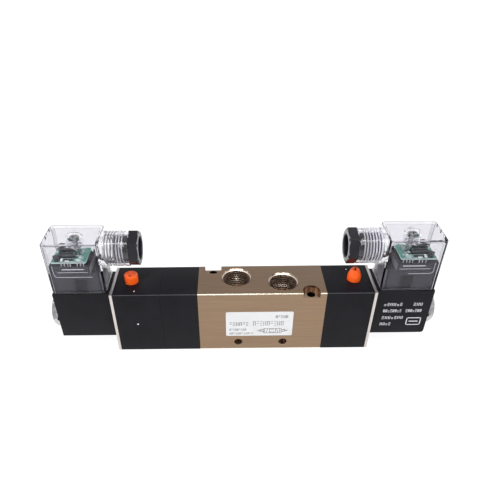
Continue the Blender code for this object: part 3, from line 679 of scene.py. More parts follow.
# ====================================================================== label
def build_label():
    x0, x1, z0, z1 = LABEL
    back, face = -HALF + 0.2, -HALF + 0.03
    obj = rbox((x0, x1), (face, back), (z0, z1), 0.95, 6, along(1))
    place(obj, "label_face", "paper", replaces=("label_plate",), slot="paper")
    top = face - 0.015

    def bar(xa, xb, za, zb, r=0.0):
        o = rbox((x0 + xa, x0 + xb), (top, face + 0.03), (z1 - zb, z1 - za), 0, 1)
        return o

    # rows of plain strokes where words would stand, at the size of the print
    def word_row(x, z, height, count, pitch, stroke):
        marks = []
        w = pitch * 0.72
        for k in range(count):
            cx, kind = x + k * pitch, (k * 5 + count) % 4
            if kind in (0, 1):
                marks += [bar(cx, cx + stroke, z, z + height), bar(cx + w - stroke, cx + w, z, z + height)]
            if kind in (2, 3):
                marks.append(bar(cx, cx + w, z + height * 0.5 - stroke * 0.4, z + height * 0.5 + stroke * 0.4))
            if kind in (1, 2, 3):
                marks.append(bar(cx, cx + w, z, z + stroke * 0.8))
            if kind == 3:
                marks.append(bar(cx, cx + w, z + height - stroke * 0.8, z + height))
        return marks
    dark = word_row(2.0, 7.5, 2.4, 6, 1.85, 0.36)
    dark += word_row(27.8, 2.7, 1.9, 5, 1.45, 0.32)
    pale = word_row(15.3, 6.8, 3.2, 9, 1.95, 0.32)
    pale += word_row(2.0, 12.1, 1.6, 9, 1.08, 0.26)
    pale += word_row(2.0, 15.0, 1.5, 12, 1.14, 0.26)
    place(merge(dark), "label_print_dark", "ink")
    place(merge(pale), "label_print_pale", "ink_pale")

    # a plain three-position, two-coil, spring-centred valve symbol
    lines = []
    sx, sz, s, w = 21.4, 12.2, 3.3, 0.24

    def line(a, b, width=w):
        ax, az = x0 + a[0], z1 - a[1]
        bx, bz = x0 + b[0], z1 - b[1]
        length = math.hypot(bx - ax, bz - az)
        bm = bm_box((0, length), (top, face + 0.03), (-width / 2, width / 2))
        bm.transform(Matrix.Translation((ax, 0, az)) @ Matrix.Rotation(-math.atan2(bz - az, bx - ax), 4, "Y"))
        lines.append(temp(bm))
    for i in range(3):
        bx = sx + i * s
        for a, b in (((bx, sz), (bx + s, sz)), ((bx, sz + s), (bx + s, sz + s)), ((bx, sz), (bx, sz + s)),
                     ((bx + s, sz), (bx + s, sz + s))):
            line(a, b)
    line((sx + 0.6, sz + 0.2), (sx + 0.6, sz + s - 0.2))
    line((sx + 2.2, sz + 0.2), (sx + 1.5, sz + s - 0.2))
    line((sx + 2 * s + 0.7, sz + 0.2), (sx + 2 * s + 1.4, sz + s - 0.2))
    line((sx + 2 * s + 2.3, sz + 0.2), (sx + 2 * s + 2.3, sz + s - 0.2))
    for k in (0.7, 1.45, 2.2):
        line((sx + s + k, sz + s), (sx + s + k, sz + s - 0.8))
        line((sx + s + k - 0.3, sz + s - 0.8), (sx + s + k + 0.3, sz + s - 0.8))
    for k in (0.9, 2.0):
        line((sx + s + k, sz), (sx + s + k, sz + 0.8))
        line((sx + s + k - 0.3, sz + 0.8), (sx + s + k + 0.3, sz + 0.8))
    for k0, sign in ((sx, -1), (sx + 3 * s, 1)):
        e = k0 + sign * 2.0
        for a, b in (((k0, sz + 0.7), (e, sz + 0.7)), ((k0, sz + 2.3), (e, sz + 2.3)), ((e, sz + 0.7), (e, sz + 2.3)),
                     ((k0, sz + 2.3), (e, sz + 0.7))):
            line(a, b)
        pts = [(e + sign * 0.5 * j, sz + (1.0 if j % 2 else 2.0)) for j in range(4)]
        for a, b in zip(pts, pts[1:]):
            line(a, b)
    place(merge(lines), "label_symbol", "ink")


build_label()


def edge_highlight_faces(c, n):
    """Painted highlight: the rounded long edges of the end blocks take a lighter, glossier coating."""
    return abs(n.x) < 0.05 and min(abs(n.y), abs(n.z)) > 0.15 and abs(c.y) > HALF - 0.4 and not 0.5 < c.z < 39.5


# ============================================================= spring housing
def build_housing():
    obj = rbox((-PILOT_A0 + 0.05, BODY_X0 - 0.05), (-HALF, HALF), (0, HEIGHT), 0.35, 3, along(0))
    wall = -PILOT_A0 + 1.6
    cutters = [lathe([(0, BODY_X0 + 1), (10.5, BODY_X0 + 1), (10.5, wall), (4.4, wall),
                      (4.4, -PILOT_A0 - 1), (0, -PILOT_A0 - 1)], "X", (0, 0, Z_SPOOL), 64, False)]
    for sy, sz in (SCREW_A, SCREW_B):
        cutters.append(drill(SCREW_R + 0.12, -PILOT_A0 - 1, BODY_X0 + 1, "X", (0, -sy, sz)))
    cut(obj, *cutters)
    paint_faces(obj, 1, edge_highlight_faces)
    place(obj, "spring_housing_shell", ["block", "block_painted_highlight"], replaces=("spring_housing",), slot="black")


build_housing()


# ============================================================ solenoid ends
def build_end(side):
    def n(name):
        return side + "_" + name

    kw = {"side": side}
    spool_at, tube_at = (0, 0, Z_SPOOL), (0, 0, Z_TUBE)

    # pilot block
    obj = rbox((PILOT_A0 + 0.05, PILOT_A1), (-HALF, HALF), (0, HEIGHT), 0.35, 3, along(0))
    cutters = [
        drill(10.0, PILOT_A0 - 1, 57.5, "X", spool_at, 64),
        lathe([(10.9, PILOT_A0 - 1), (12.5, PILOT_A0 - 1), (12.5, PILOT_A0 + 1.4), (10.9, PILOT_A0 + 1.4)],
              "X", spool_at, 64, True),
        lathe([(0, 71.5), (8.5, 71.5), (8.5, 69.4), (5, 69.4), (5, 67.6), (1.8, 67.6), (1.8, 68.6), (0, 68.6)],
              "X", tube_at, 48, False),
        lathe([(0, HEIGHT + 1), (BUTTON_HOLE + 0.3, HEIGHT + 1), (BUTTON_HOLE + 0.3, HEIGHT),
               (BUTTON_HOLE, HEIGHT - 0.3), (BUTTON_HOLE, 31.0), (2.35, 31), (2.35, 19.5), (0, 19.5)],
              "Z", (BUTTON_A, 0, 0), 64, False),
        drill(1.0, 56.5, 69.0, "X", tube_at, 16),
        lathe([(0, HALF + 1), (1.15, HALF + 1), (1.15, HALF + 0.02), (0.75, HALF - 0.4), (0.75, HALF - 3),
               (0, HALF - 3.6)], "Y", (59.1, 0, 19.3), 32, False),
        lathe([(0, HEIGHT + 1), (0.9, HEIGHT + 1), (0.9, HEIGHT + 0.02), (0.6, HEIGHT - 0.3),
               (0.6, HEIGHT - 2), (0, HEIGHT - 2.4)], "Z", (59.4, 9.5, 0), 32, False)]
    for sy, sz in (SCREW_A, SCREW_B):
        cutters.append(drill(SCREW_R + 0.12, PILOT_A0 - 1, PILOT_A1 + 1, "X", (0, sy, sz)))
    cut(obj, *cutters)
    paint_faces(obj, 1, edge_highlight_faces)
    place(obj, n("pilot_block_shell"), ["block", "block_painted_highlight"], replaces=(n("pilot_block"),), slot="black", **kw)
    # a pressed-in ball closes each drilled passage, just under the face
    for tag, spot, r in (("1", (59.1, HALF - 0.7, 19.3), 0.68), ("2", (59.4, 9.5, HEIGHT - 0.6), 0.56)):
        ball = bmesh.new()
        bmesh.ops.create_uvsphere(ball, u_segments=24, v_segments=14, radius=r)
        ball.transform(Matrix.Translation(spot))
        place(temp(ball), n("passage_ball_" + tag), "ball", angle=80, **kw)

    # end plate with its countersinks
    face = PILOT_A1 + PLATE_T
    obj = rbox((PILOT_A1 + 0.1, face), (-HALF, HALF), (0, HEIGHT), 0.22, 2)
    cutters = [drill(4.75, PILOT_A1 - 1, face + 1, "X", tube_at, 64)]
    for sy, sz in (SCREW_A, SCREW_B):
        cutters.append(lathe([(0, face + 0.5), (3.95, face + 0.5), (2.15, face - 1.3), (2.15, face - 3), (0, face - 3)],
                             "X", (0, sy, sz), 48, False))
    cut(obj, *cutters)
    place(obj, n("end_plate_shell"), "plate", replaces=(n("end_plate"),), slot="plate", **kw)
    for tag, (sy, sz), reach in (("a", SCREW_A, 0), ("b", SCREW_B, 0)):
        end = 19.7 if side == "left" else 40.2
        at = (0, sy, sz)
        obj = lathe([(0, face - 0.1), (2.9, face - 0.1), (3.2, face - 0.3), (SCREW_R, face - 1.4),
                     (SCREW_R, end + 0.6), (SCREW_R - 0.6, end), (0, end)], "X", at, 40, False)
        cut(obj, lathe([(0, face - 1.3), (1.15, face - 1.1), (1.25, face + 1), (0, face + 1)], "X", at, 6, False))
        place(obj, n("end_screw_" + tag), "nickel", replaces=(n("block_screw_" + tag),), slot="steel", **kw)

    # coil: nearly sharp edges, and one corner at the bottom rounded well off
    bm = bm_box((COIL_A0, COIL_A1), (-COIL_HALF, COIL_HALF), (COIL_Z0, COIL_Z1))
    bevel(bm, 0.3, 3)
    obj = temp(bm)
    ops = []
    blades = [((81.1, 81.9), (-3.1, 3.1)), ((95.1, 95.9), (-3.1, 3.1)), ((85.4, 91.6), (5.7, 6.5))]
    for bx, by in blades:
        ops.append((rbox(bx, by, (COIL_Z1 - 2, COIL_Z1 + 9), 0.2, 1), "UNION"))
    ops.append((drill(4.8, COIL_A0 - 1, COIL_A1 + 1, "X", tube_at, 64), "DIFFERENCE"))
    ops.append((drill(1.65, 31.5, COIL_Z1 + 1, "Z", (SCREW_AT, 0, 0)), "DIFFERENCE"))
    round_r = 2.2
    corner = rbox((COIL_A1 - round_r, COIL_A1 + 1), (-COIL_HALF - 1, -4.0), (COIL_Z0 - 1, COIL_Z0 + round_r), 0)
    cut(corner, lathe([(0, -COIL_HALF - 2), (round_r, -COIL_HALF - 2), (round_r, -3), (0, -3)], "Y",
                      (COIL_A1 - round_r, 0, COIL_Z0 + round_r), 64, False))
    ops.append((corner, "DIFFERENCE"))
    boolean(obj, ops)

    def metal(c, nn):
        return c.z > COIL_Z1 + 0.05
    paint_faces(obj, 1, metal)
    place(obj, n("coil_shell"), ["coil", "solder"], replaces=(n("coil"),), slot="coil", **kw)

    # coil nut, with its stud's rounded end
    nut = hexagon(17.0, COIL_A1 + 0.6, 108.2, tube_at, 0.0, both=True)
    collar = lathe([(3.15, COIL_A1 + 0.08), (7.6, COIL_A1 + 0.08), (7.7, COIL_A1 + 0.2), (7.7, COIL_A1 + 0.5),
                    (7.6, COIL_A1 + 0.64), (3.15, COIL_A1 + 0.64)], "X", tube_at, 64, True)
    cut(nut, drill(3.15, 100, 112, "X", tube_at, 48))
    place(merge([nut, collar]), n("coil_nut_hex"), "nickel", replaces=(n("coil_nut"),), slot="steel", **kw)
    pts = [(0, 108.7), (2.1, 108.7), (2.7, 108.3)]
    t = 108.1
    while t > 104.0:
        pts += [(2.98, t), (2.6, t - 0.25)]
        t -= 0.5
    pts += [(3.0, 103.7), (4.02, 103.7), (4.02, 92.2), (1.9, 92.2), (1.9, 94.2), (0, 94.2)]
    rod_piece(pts, n("core_and_stud"), "steel", "X", tube_at, "frame", replaces=(n("fixed_core"),), slot="steel", **kw)

    # gasket
    obj = rbox((HOUSE_A0 + 0.4, HOUSE_A1 - 0.4), (-10.5, 10.5), (COIL_Z1 + 0.1, HOUSE_Z0 - 0.1), 0.9, 4, along(2))
    pockets = [rbox((bx[0] - 0.2, bx[1] + 0.2), (by[0] - 0.2, by[1] + 0.2), (37, COIL_Z1 + 9.4), 0) for bx, by in blades]
    cut(obj, *pockets, drill(1.9, 37, 60, "Z", (SCREW_AT, 0, 0)))
    place(obj, n("gasket_sheet"), "rubber", replaces=(n("connector_gasket"),), slot="rubber", **kw)

    # terminal insert: block, upper block, terminal wells, and ribs on both long faces
    iy = 8.9
    z0, z1, z2 = HOUSE_Z0 + 0.1, 51.5, 55.7
    obj = rbox((76.2, 102.5), (-iy, iy), (z0, z1), 0.9, 4, along(2))
    ops = [(rbox((80.6, 102.5), (-iy, iy), (z1 - 2, z2), 0.9, 4, along(2)), "UNION")]
    for bx, by in blades:
        ops.append((rbox((bx[0] - 0.2, bx[1] + 0.2), (by[0] - 0.2, by[1] + 0.2), (37, COIL_Z1 + 9.4), 0), "DIFFERENCE"))
    ops.append((drill(1.9, 37, 62, "Z", (SCREW_AT, 0, 0)), "DIFFERENCE"))
    for wy in (-iy, iy):
        ops.append((rbox((83.9, 90.7), (wy - 0.3, wy + 0.3), (z0 - 1, 47.8), 0), "DIFFERENCE"))
    for ax in (82.9, 95.5):
        ops.append((drill(2.2, 53.5, 60, "Z", (ax, 4.6, 0)), "DIFFERENCE"))
    boolean(obj, ops)

    # painted shade: the floor of each shallow terminal well takes a darker copy of the insert plastic
    def well_painted_shade_faces(c, nn):
        return 84.0 < c.x < 90.6 and c.z < 47.7 and 8.5 < abs(c.y) < 8.7
    paint_faces(obj, 1, well_painted_shade_faces)
    # painted light: the insert's end face toward the gland takes a much paler copy of the insert plastic
    paint_faces(obj, 2, lambda c, nn: nn.x < -0.8 and c.x < 81.5)
    place(obj, n("insert_block"), ["insert", "insert_painted_shade", "insert_side_painted_light"], replaces=(n("connector_insert"),), slot="insert", **kw)
    # painted highlight: the ribs on the insert's long faces are pale grey tubes on the black plastic
    marks = []
    for yf in (-iy, iy):
        def path(pts, r):
            marks.append(tube([(px, yf, pz) for px, pz in pts], r, res=2))
        path([(83.8, 54.2), (95.6, 54.2)], 0.3)
        path([(82.4, 52.3), (98.4, 52.3)], 0.16)
        arc = [(100.5, 56.0), (100.45, 51.2)]
        for k in range(1, 9):
            t = math.pi / 2 * k / 8
            arc.append((100.45 - 1.9 * (1 - math.cos(t)), 51.2 - 1.9 * math.sin(t)))
        arc.append((87.6 if yf < 0 else 80.2, 49.25))
        path(arc, 0.17)
    place(merge(marks), n("insert_rib_highlights"), "insert_line", **kw)
    for i, ax in enumerate((82.9, 95.5)):
        scr = lathe([(0, 54.9), (1.6, 54.9), (1.95, 54.6), (1.95, 53.6), (0, 53.6)], "Z", (ax, 4.6, 0), 40, False)
        cut(scr, rbox((ax - 3, ax + 3), (4.35, 4.85), (54.3, 56), 0))
        place(scr, n("terminal_screw_%d" % (i + 1)), "nickel", **kw)
    # solder pins of the terminals, four and three along each long edge
    pins = []
    for yf, at_a in ((-7.95, (83.8, 85.5, 87.1, 88.6, 92.1, 93.7, 95.5)), (7.95, (83.9, 85.4, 87.1, 90.8, 92.2, 93.9, 95.6))):
        for ax in at_a:
            pins.append(rbox((ax - 0.26, ax + 0.26), (yf - 0.22, yf + 0.22), (55.5, 58.4), 0.1, 2))
    place(merge(pins), n("terminal_pins"), "pin", **kw)

    # circuit board with its parts
    bx0, bx1, by0, by1, bz0, bz1 = BOARD
    obj = rbox((bx0, bx1), (by0, by1), (bz0, bz1), 0.5, 3, along(2))
    cut(obj, drill(1.95, 50, 62, "Z", (SCREW_AT, 0, 0)))
    paint_faces(obj, 1, lambda c, nn: abs(nn.z) < 0.5)
    place(obj, n("board_sheet"), ["board", "board_edge"], replaces=(n("connector_board"),), slot="board", **kw)

    def axial(y, xa, xb, r, z, mat_name, name, band=None):
        pts = [(0, xa), (r * 0.7, xa), (r, xa + 0.4 * r)]
        for k in range(1, 5):
            pts.append((r * (0.9 if 0 < k < 4 else 1.0), xa + (xb - xa) * k / 5))
        pts += [(r, xb - 0.4 * r), (r * 0.7, xb), (0, xb)]
        rod_piece(pts, n(name), mat_name, "X", (0, y, z), "frame", n=28, **kw)
        leads = []
        for end, sgn in ((xa, -1), (xb, 1)):
            leads.append(tube([(end - sgn * 0.2, y, z), (end + sgn * 1.2, y, z), (end + sgn * 1.6, y, z - 0.15),
                               (end + sgn * 1.75, y, z - 0.6), (end + sgn * 1.75, y, bz1 - 0.4)], 0.24, res=3))
        place(merge(leads), n(name + "_leads"), "solder", **kw)
        pads = [lathe([(0, bz1 + 0.55), (0.35, bz1 + 0.4), (0.8, bz1 + 0.08), (0.95, bz1 + 0.005), (0, bz1 + 0.005)],
                      "Z", (end + sgn * 1.75, y, 0), 24, False) for end, sgn in ((xa, -1), (xb, 1))]
        place(merge(pads), n(name + "_pads"), "solder", **kw)
    axial(3.1, 88.4, 98.2, 1.0, bz1 + 1.15, "dark_part", "diode_1")
    axial(-3.1, 88.4, 98.2, 1.0, bz1 + 1.15, "dark_part", "diode_2")
    # flat moulded parts: one along the middle, one across each outer corner, small ones at the edges
    blk = rbox((90.8, 98.4), (-0.75, 0.75), (bz1 + 0.1, bz1 + 1.4), 0.3, 3)
    place(blk, n("network_part"), "dark_part", **kw)
    for sy in (-1, 1):
        tag = "a" if sy < 0 else "b"

        def edge_box(xa, xb, ya, yb, h, bevelled=0.2):
            return rbox((xa, xb), (min(sy * ya, sy * yb), max(sy * ya, sy * yb)), (bz1 + 0.04, bz1 + h), bevelled, 2)
        blk = rbox((95.9, 100.7), (-1.5, 1.5), (bz1 + 0.12, bz1 + 2.0), 0.5, 3)
        blk.data.transform(Matrix.Translation((98.5, sy * 5.3, 0)) @ Matrix.Rotation(math.radians(-sy * 62), 4, "Z")
                           @ Matrix.Translation((-98.4, 0, 0)))
        place(blk, n("suppressor_" + tag), "dark_part", **kw)
        place(edge_box(89.4, 94.6, 5.3, 6.4, 0.8), n("chip_" + tag), "dark_part", **kw)
        place(edge_box(85.1, 88.3, 4.9, 7.0, 0.55), n("indicator_window_" + tag), "lens_green", **kw)
        place(merge([edge_box(91.2, 93.6, 6.75, 7.5, 0.7), edge_box(94.9, 96.2, 4.9, 7.2, 0.9)]), n("lamp_chips_" + tag),
              "lens", **kw)
    # tinned tracks lie bright on the mask
    tracks = [tube([(px, py, bz1 + 0.08) for px, py in pts], 0.27, res=2) for pts in (
        [(84.2, 6.9), (88.8, 7.1), (90.6, 7.1)],
        [(88.9, 5.95), (97.2, 5.95)],
        [(88.9, -5.95), (97.2, -5.95)],
        [(84.0, 4.4), (97.4, 4.4), (98.0, 5.4)],
        [(85.4, 1.5), (98.6, 1.5)],
        [(84.6, 2.9), (86.2, 2.9), (86.8, 1.5)],
        [(84.6, -2.9), (86.2, -2.9), (86.8, -1.5)],
        [(85.4, -1.5), (98.6, -1.5)],
        [(84.0, -4.4), (97.4, -4.4), (98.0, -5.4)],
        [(84.2, -6.9), (88.8, -7.1), (90.6, -7.1)])]
    place(merge(tracks), n("tinned_tracks"), "solder", **kw)

    # clear housing: a box with soft edges, the gland barrel and the screw's pillar in one moulding
    def upper(e, top):
        return (len(e.link_faces) == 2 and e.verts[0].co.z > top - 0.01 and e.verts[1].co.z > top - 0.01
                and abs(e.link_faces[0].normal.z - e.link_faces[1].normal.z) > 0.5)
    bm = bm_box((HOUSE_A0, HOUSE_A1), (-HOUSE_HALF, HOUSE_HALF), (HOUSE_Z0, HOUSE_Z1))
    bevel(bm, 2.6, 8, along(2))
    bevel(bm, 1.1, 6, lambda e: upper(e, HOUSE_Z1))
    obj = temp(bm)
    g_at = (0, 0, GLAND_Z)
    barrel = [(0, HOUSE_A0 + 1.2), (GLAND_R, HOUSE_A0 + 1.2), (GLAND_R, HOUSE_A0 + 0.2), (GLAND_R - 0.25, HOUSE_A0 - 0.3),
              (GLAND_R - 0.25, HOUSE_A0 - 1.0), (GLAND_R, HOUSE_A0 - 1.4),
              (GLAND_R, GLAND_A0 + 0.5), (GLAND_R - 0.15, GLAND_A0 + 0.15), (GLAND_R - 0.5, GLAND_A0), (0, GLAND_A0)]
    top = HOUSE_Z1 - WALL
    cav = bm_box((HOUSE_A0 + WALL, HOUSE_A1 - OUTER_WALL), (-HOUSE_HALF + WALL, HOUSE_HALF - WALL), (HOUSE_Z0 - 2, top))
    bevel(cav, 1.6, 6, along(2))
    bevel(cav, 0.5, 4, lambda e: upper(e, top))
    ops = [(lathe(barrel, "X", g_at, 96, False), "UNION"), (temp(cav), "DIFFERENCE"),
           (lathe([(0, 64.0), (3.9, 64.0), (4.4, 65.0), (4.4, HOUSE_Z1 - 1), (0, HOUSE_Z1 - 1)], "Z",
                  (SCREW_AT, 0, 0), 64, False), "UNION"),
           (lathe([(0, HOUSE_Z1 + 1), (3.9, HOUSE_Z1 + 1), (3.9, HOUSE_Z1), (3.4, HOUSE_Z1 - 0.5), (3.4, 66.8),
                   (1.75, 66.8), (1.75, 62.0), (0, 62.0)], "Z", (SCREW_AT, 0, 0), 64, False), "DIFFERENCE"),
           (thread_cutter(GLAND_BORE - 0.75, GLAND_BORE, 1.5, 73.0, GLAND_A0 - 0.5, GLAND_A0, GLAND_BORE + 0.1, "X", g_at,
                          96, 0.04, 0.46), "DIFFERENCE"),
           (drill(5.5, 72.5, HOUSE_A0 + 4, "X", g_at, 64), "DIFFERENCE")]
    boolean(obj, ops)
    paint_faces(obj, 1, lambda c, nn: c.x < HOUSE_A0 - 0.05)

    # painted shade: the housing's rounded edges take a darker, greyer copy of the clear plastic
    def edge_painted_shade_faces(c, nn):
        near_wall = c.x > HOUSE_A1 - 3.2 or abs(c.y) > HOUSE_HALF - 3.2
        return c.x > HOUSE_A0 + 0.02 and near_wall and sorted((abs(nn.x), abs(nn.y), abs(nn.z)))[1] > 0.13
    paint_faces(obj, 2, edge_painted_shade_faces)

    def flank(c, nn):
        r = math.hypot(c.y, c.z - GLAND_Z)
        return c.x < 73.2 and r < GLAND_BORE + 0.02 and 0.5 < abs(nn.x) < 0.98
    paint_faces(obj, 3, flank)
    # painted shade and light: the far flanks are painted darker in the left housing and paler in the right
    paint_faces(obj, 4, lambda c, nn: flank(c, nn) and c.x > 67.0)
    place(obj, n("plug_housing"), ["clear", "clear_barrel", "clear_edge_painted_shade", "thread", "thread_" + side],
          replaces=(n("connector_housing"),), slot="clear", angle=30, **kw)

    # the moulding's rounded corners read as thin grey lines inside the plastic; these are painted shade, dark tubes
    # laid where the refraction shows
    ins, rr, zt = 0.42, 2.18, HOUSE_Z1 - 0.5
    x_lo, x_hi, y_hi = HOUSE_A0 + ins, HOUSE_A1 - ins, HOUSE_HALF - ins
    ring = []
    for cx, cy, a0 in ((x_hi - rr, y_hi - rr, 0), (x_lo + rr, y_hi - rr, 90), (x_lo + rr, -y_hi + rr, 180),
                       (x_hi - rr, -y_hi + rr, 270)):
        for k in range(7):
            a = math.radians(a0 + 15 * k)
            ring.append((cx + rr * math.cos(a), cy + rr * math.sin(a), zt))
    lines = [tube(ring, 0.15, res=1, cyclic=True)]
    for sy in (-1, 1):
        a = math.radians(24)
        px, py = HOUSE_A1 - 2.6 + 2.22 * math.cos(a), sy * (HOUSE_HALF - 2.6 + 2.22 * math.sin(a))
        lines.append(tube([(px, py, HOUSE_Z0 + 0.4), (px, py, zt - 0.4)], 0.13, res=1))
    place(merge(lines), n("housing_painted_shade_lines"), "edge_line", **kw)

    # long plug screw
    scr = lathe([(0, 69.0), (1.6, 68.95), (2.4, 68.7), (2.8, 68.2), (2.8, 66.9), (1.45, 66.9), (1.45, 32.4),
                 (1.0, 32.0), (0, 32.0)], "Z", (SCREW_AT, 0, 0), 48, False)
    cut(scr, rbox((SCREW_AT - 0.4, SCREW_AT + 0.4), (-4, 4), (67.9, 70), 0),
        rbox((SCREW_AT - 1.7, SCREW_AT + 1.7), (-0.4, 0.4), (67.9, 70), 0))
    place(scr, n("plug_screw"), "nickel", replaces=(n("connector_screw"),), slot="steel", **kw)

    # gland grommet and nut
    deep = GROMMET_A1[side] - 0.1
    obj = lathe([(6.75, 63.2), (6.8, deep - 0.3), (6.5, deep), (3.8, deep), (3.5, deep - 0.3), (3.5, 66.2), (3.75, 66.0),
                 (3.75, 65.4), (3.5, 65.2), (3.5, 63.5), (3.8, 63.1), (6.6, 63.1)], "X", g_at, 64, True)
    place(obj, n("grommet_ring"), "rubber", replaces=(n("gland_grommet"),), slot="rubber", **kw)
    nut = hexagon(NUT_AF, NUT_A0, NUT_A1, g_at, NUT_TURN[side])
    shank = [(0, NUT_A1 - 1), (7.9, NUT_A1 - 1), (7.9, NUT_A1 - 0.02), (6.8, NUT_A1 + 0.02)]
    t = NUT_A1 + 0.3
    while t < 62.6:
        shank += [(6.8, t + 0.2), (6.55, t + 0.5)]
        t += 0.6
    shank += [(6.5, 62.9), (0, 62.9)]
    boolean(nut, [(lathe(shank, "X", g_at, 64, False), "UNION"),
                  (lathe([(0, 50), (6.5, 50), (6.5, NUT_A0), (5.9, NUT_A0 + 0.6), (5.9, 70), (0, 70)], "X", g_at, 72,
                         False), "DIFFERENCE")])
    # painted highlight: the nut's end face is painted far paler than its sides
    paint_faces(nut, 1, lambda c, nn: nn.x < -0.75 and c.x < NUT_A0 + 0.25)
    place(nut, n("gland_nut_hex"), ["nut", "nut_end_painted_highlight"], replaces=(n("gland_nut"),), slot="nut", **kw)

    # override button: rounded rim and one screwdriver slot; the right one has a tapered cap
    body = side + "_override_button"
    at = (BUTTON_A, 0, 0)
    if side == "left":
        crown = 44.6
        head = [(0, crown - 0.25), (BUTTON_R - 1.35, crown - 0.25), (BUTTON_R - 1.05, crown - 0.05)]
        for k in range(7):
            t = math.pi / 2 * k / 6
            head.append((BUTTON_R - 0.8 + 0.8 * math.sin(t), crown - 0.8 + 0.8 * math.cos(t)))
    else:
        crown = 46.4
        head = [(0, crown - 0.15), (1.3, crown - 0.15), (1.7, crown), (2.15, crown - 0.15), (2.4, crown - 0.6)]
        for k in range(1, 6):
            head.append((2.4 + 1.2 * k / 6, crown - 0.6 - 3.0 * k / 6))
        head += [(3.68, 42.5), (BUTTON_R, 42.0)]
    head += [(BUTTON_R, 36.7), (BUTTON_R - 0.3, 36.4), (2.2, 36.4), (2.2, 30.4), (1.6, 30.4), (1.6, 29.0),
             (2.2, 29.0), (2.2, 26.8), (1.9, 26.5), (0, 26.5)]
    obj = lathe(head, "Z", at, 72, False)
    turned = Matrix.Rotation(math.radians(-102 if side == "left" else 78), 4, "Z")
    reach = 2.1 if side == "left" else 1.5
    slot_bm = bm_box((-reach, reach), (-0.42, 0.42), (crown - 1.2, crown + 1))
    slot_bm.transform(Matrix.Translation(at) @ turned)
    cutters = [temp(slot_bm)]
    if side == "left":
        wedge = bmesh.new()
        bmesh.ops.create_cone(wedge, cap_ends=True, segments=3, radius1=1.15, radius2=1.15, depth=1.7)
        wedge.transform(Matrix.Translation((BUTTON_A, 0, crown)) @ turned @ Matrix.Translation((-1.55, 0, 0))
                        @ Matrix.Rotation(math.radians(90), 4, "Z"))
        cutters.append(temp(wedge))
    cut(obj, *cutters)
    # painted shade: the slot's walls and floor take a much darker orange
    paint_faces(obj, 1, lambda c, nn: c.z > crown - 1.25 and abs(nn.z) < 0.2 and math.hypot(c.x - BUTTON_A, c.y) < 2.9
                or abs(c.z - (crown - 1.2)) < 0.06)
    place(obj, n("override_cap"), ["orange", "orange_slot_painted_shade"], body=body, replaces=(n("override_button"),), slot="orange", **kw)


for s in ("right", "left"):
    build_end(s)


def coil_spring(node, r, wire, t0, t1, turns, axis, at, side):
    """A wire coil of radius r from t0 to t1 along axis, its end turns closed up, put in place of node."""
    lo, hi, pts = t0 + wire * 1.1, t1 - wire * 1.1, []
    count = int(turns * 28) + 1
    for i in range(count):
        share = i / (count - 1)
        turn = share * turns
        rise = min(max((turn - 0.4) / (turns - 0.8), 0.0), 1.0)
        ang = 2 * math.pi * turn
        pts.append(Vector((r * math.cos(ang), r * math.sin(ang), lo + (hi - lo) * (0.12 * share + 0.88 * rise))))
    spin = Matrix.Rotation(math.pi / 2, 4, "Y") if axis == "X" else Matrix.Identity(4)
    obj = tube([Matrix.Translation(at) @ spin @ q for q in pts], wire * 0.97, res=3)
    place(obj, node + "_wire", "spring", side=side, angle=60, replaces=(node,), slot="spring")
    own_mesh(obj)


coil_spring("centering_spring_inner", 8.9, 0.6, -33.35, BODY_X0 - 0.05, 3.0, "X", (0, 0, Z_SPOOL), None)
coil_spring("centering_spring_outer", 8.9, 0.6, -43.6, -35.25, 3.0, "X", (0, 0, Z_SPOOL), None)
for s in ("right", "left"):
    coil_spring(s + "_armature_spring", 1.4, 0.22, 85.05, 94.15, 4.5, "X", (0, 0, Z_TUBE), s)
    coil_spring(s + "_override_spring", 3.2, 0.25, 31.05, 36.35, 3.0, "Z", (BUTTON_A, 0, 0), s)

# pale marks on the right coil's front face, in rows, where printed data would be
rows = [(78.0, 28.9, 6, 1.75), (94.2, 28.9, 3, 1.8), (78.2, 24.4, 8, 1.3), (90.7, 24.4, 7, 1.3), (78.3, 19.5, 7, 1.75),
        (78.0, 14.9, 4, 1.6)]
marks = []


def coil_bar(xa, xb, za, zb):
    marks.append(rbox((xa, xb), (-COIL_HALF - 0.02, -COIL_HALF + 0.05), (za, zb), 0))


for ax, zz, count, pitch in rows:
    for k in range(count):
        cx, w, kind, hh, t = ax + k * pitch, pitch * 0.7, (k * 5 + count) % 4, 1.95, 0.34
        if kind in (0, 1):
            coil_bar(cx, cx + t, zz, zz + hh)
            coil_bar(cx + w - t, cx + w, zz, zz + hh)
        if kind in (2, 3):
            coil_bar(cx, cx + w, zz + hh / 2 - 0.15, zz + hh / 2 + 0.15)
        if kind in (1, 2, 3):
            coil_bar(cx, cx + w, zz, zz + 0.3)
        if kind == 3:
            coil_bar(cx, cx + w, zz + hh - 0.3, zz + hh)
# a blank plate outline under them
for xa, xb, za, zb in ((92.4, 100.6, 15.0, 15.5), (92.4, 100.6, 19.9, 20.4), (92.4, 92.9, 15.0, 20.4),
                       (100.1, 100.6, 15.0, 20.4), (94.0, 99.0, 17.4, 18.0)):
    marks.append(rbox((xa, xb), (-COIL_HALF - 0.02, -COIL_HALF + 0.05), (za, zb), 0))
place(merge(marks), "coil_print", "ink_white")

# ============================================ carried-over nodes' materials
slots = {p["node"]: p["material_slot"] for p in frame["record"]["subparts"]}
by_slot = {"anodised": "champagne", "black": "block", "coil": "coil", "plate": "plate", "steel": "steel",
           "spring": "spring", "spool": "spool", "rubber": "rubber", "orange": "orange", "clear": "clear",
           "insert": "insert", "board": "board", "nut": "nut", "paper": "paper", "piston": "piston"}
for name, node in NODES.items():
    node.data.materials.clear()
    node.data.materials.append(M[by_slot[slots[name]]])

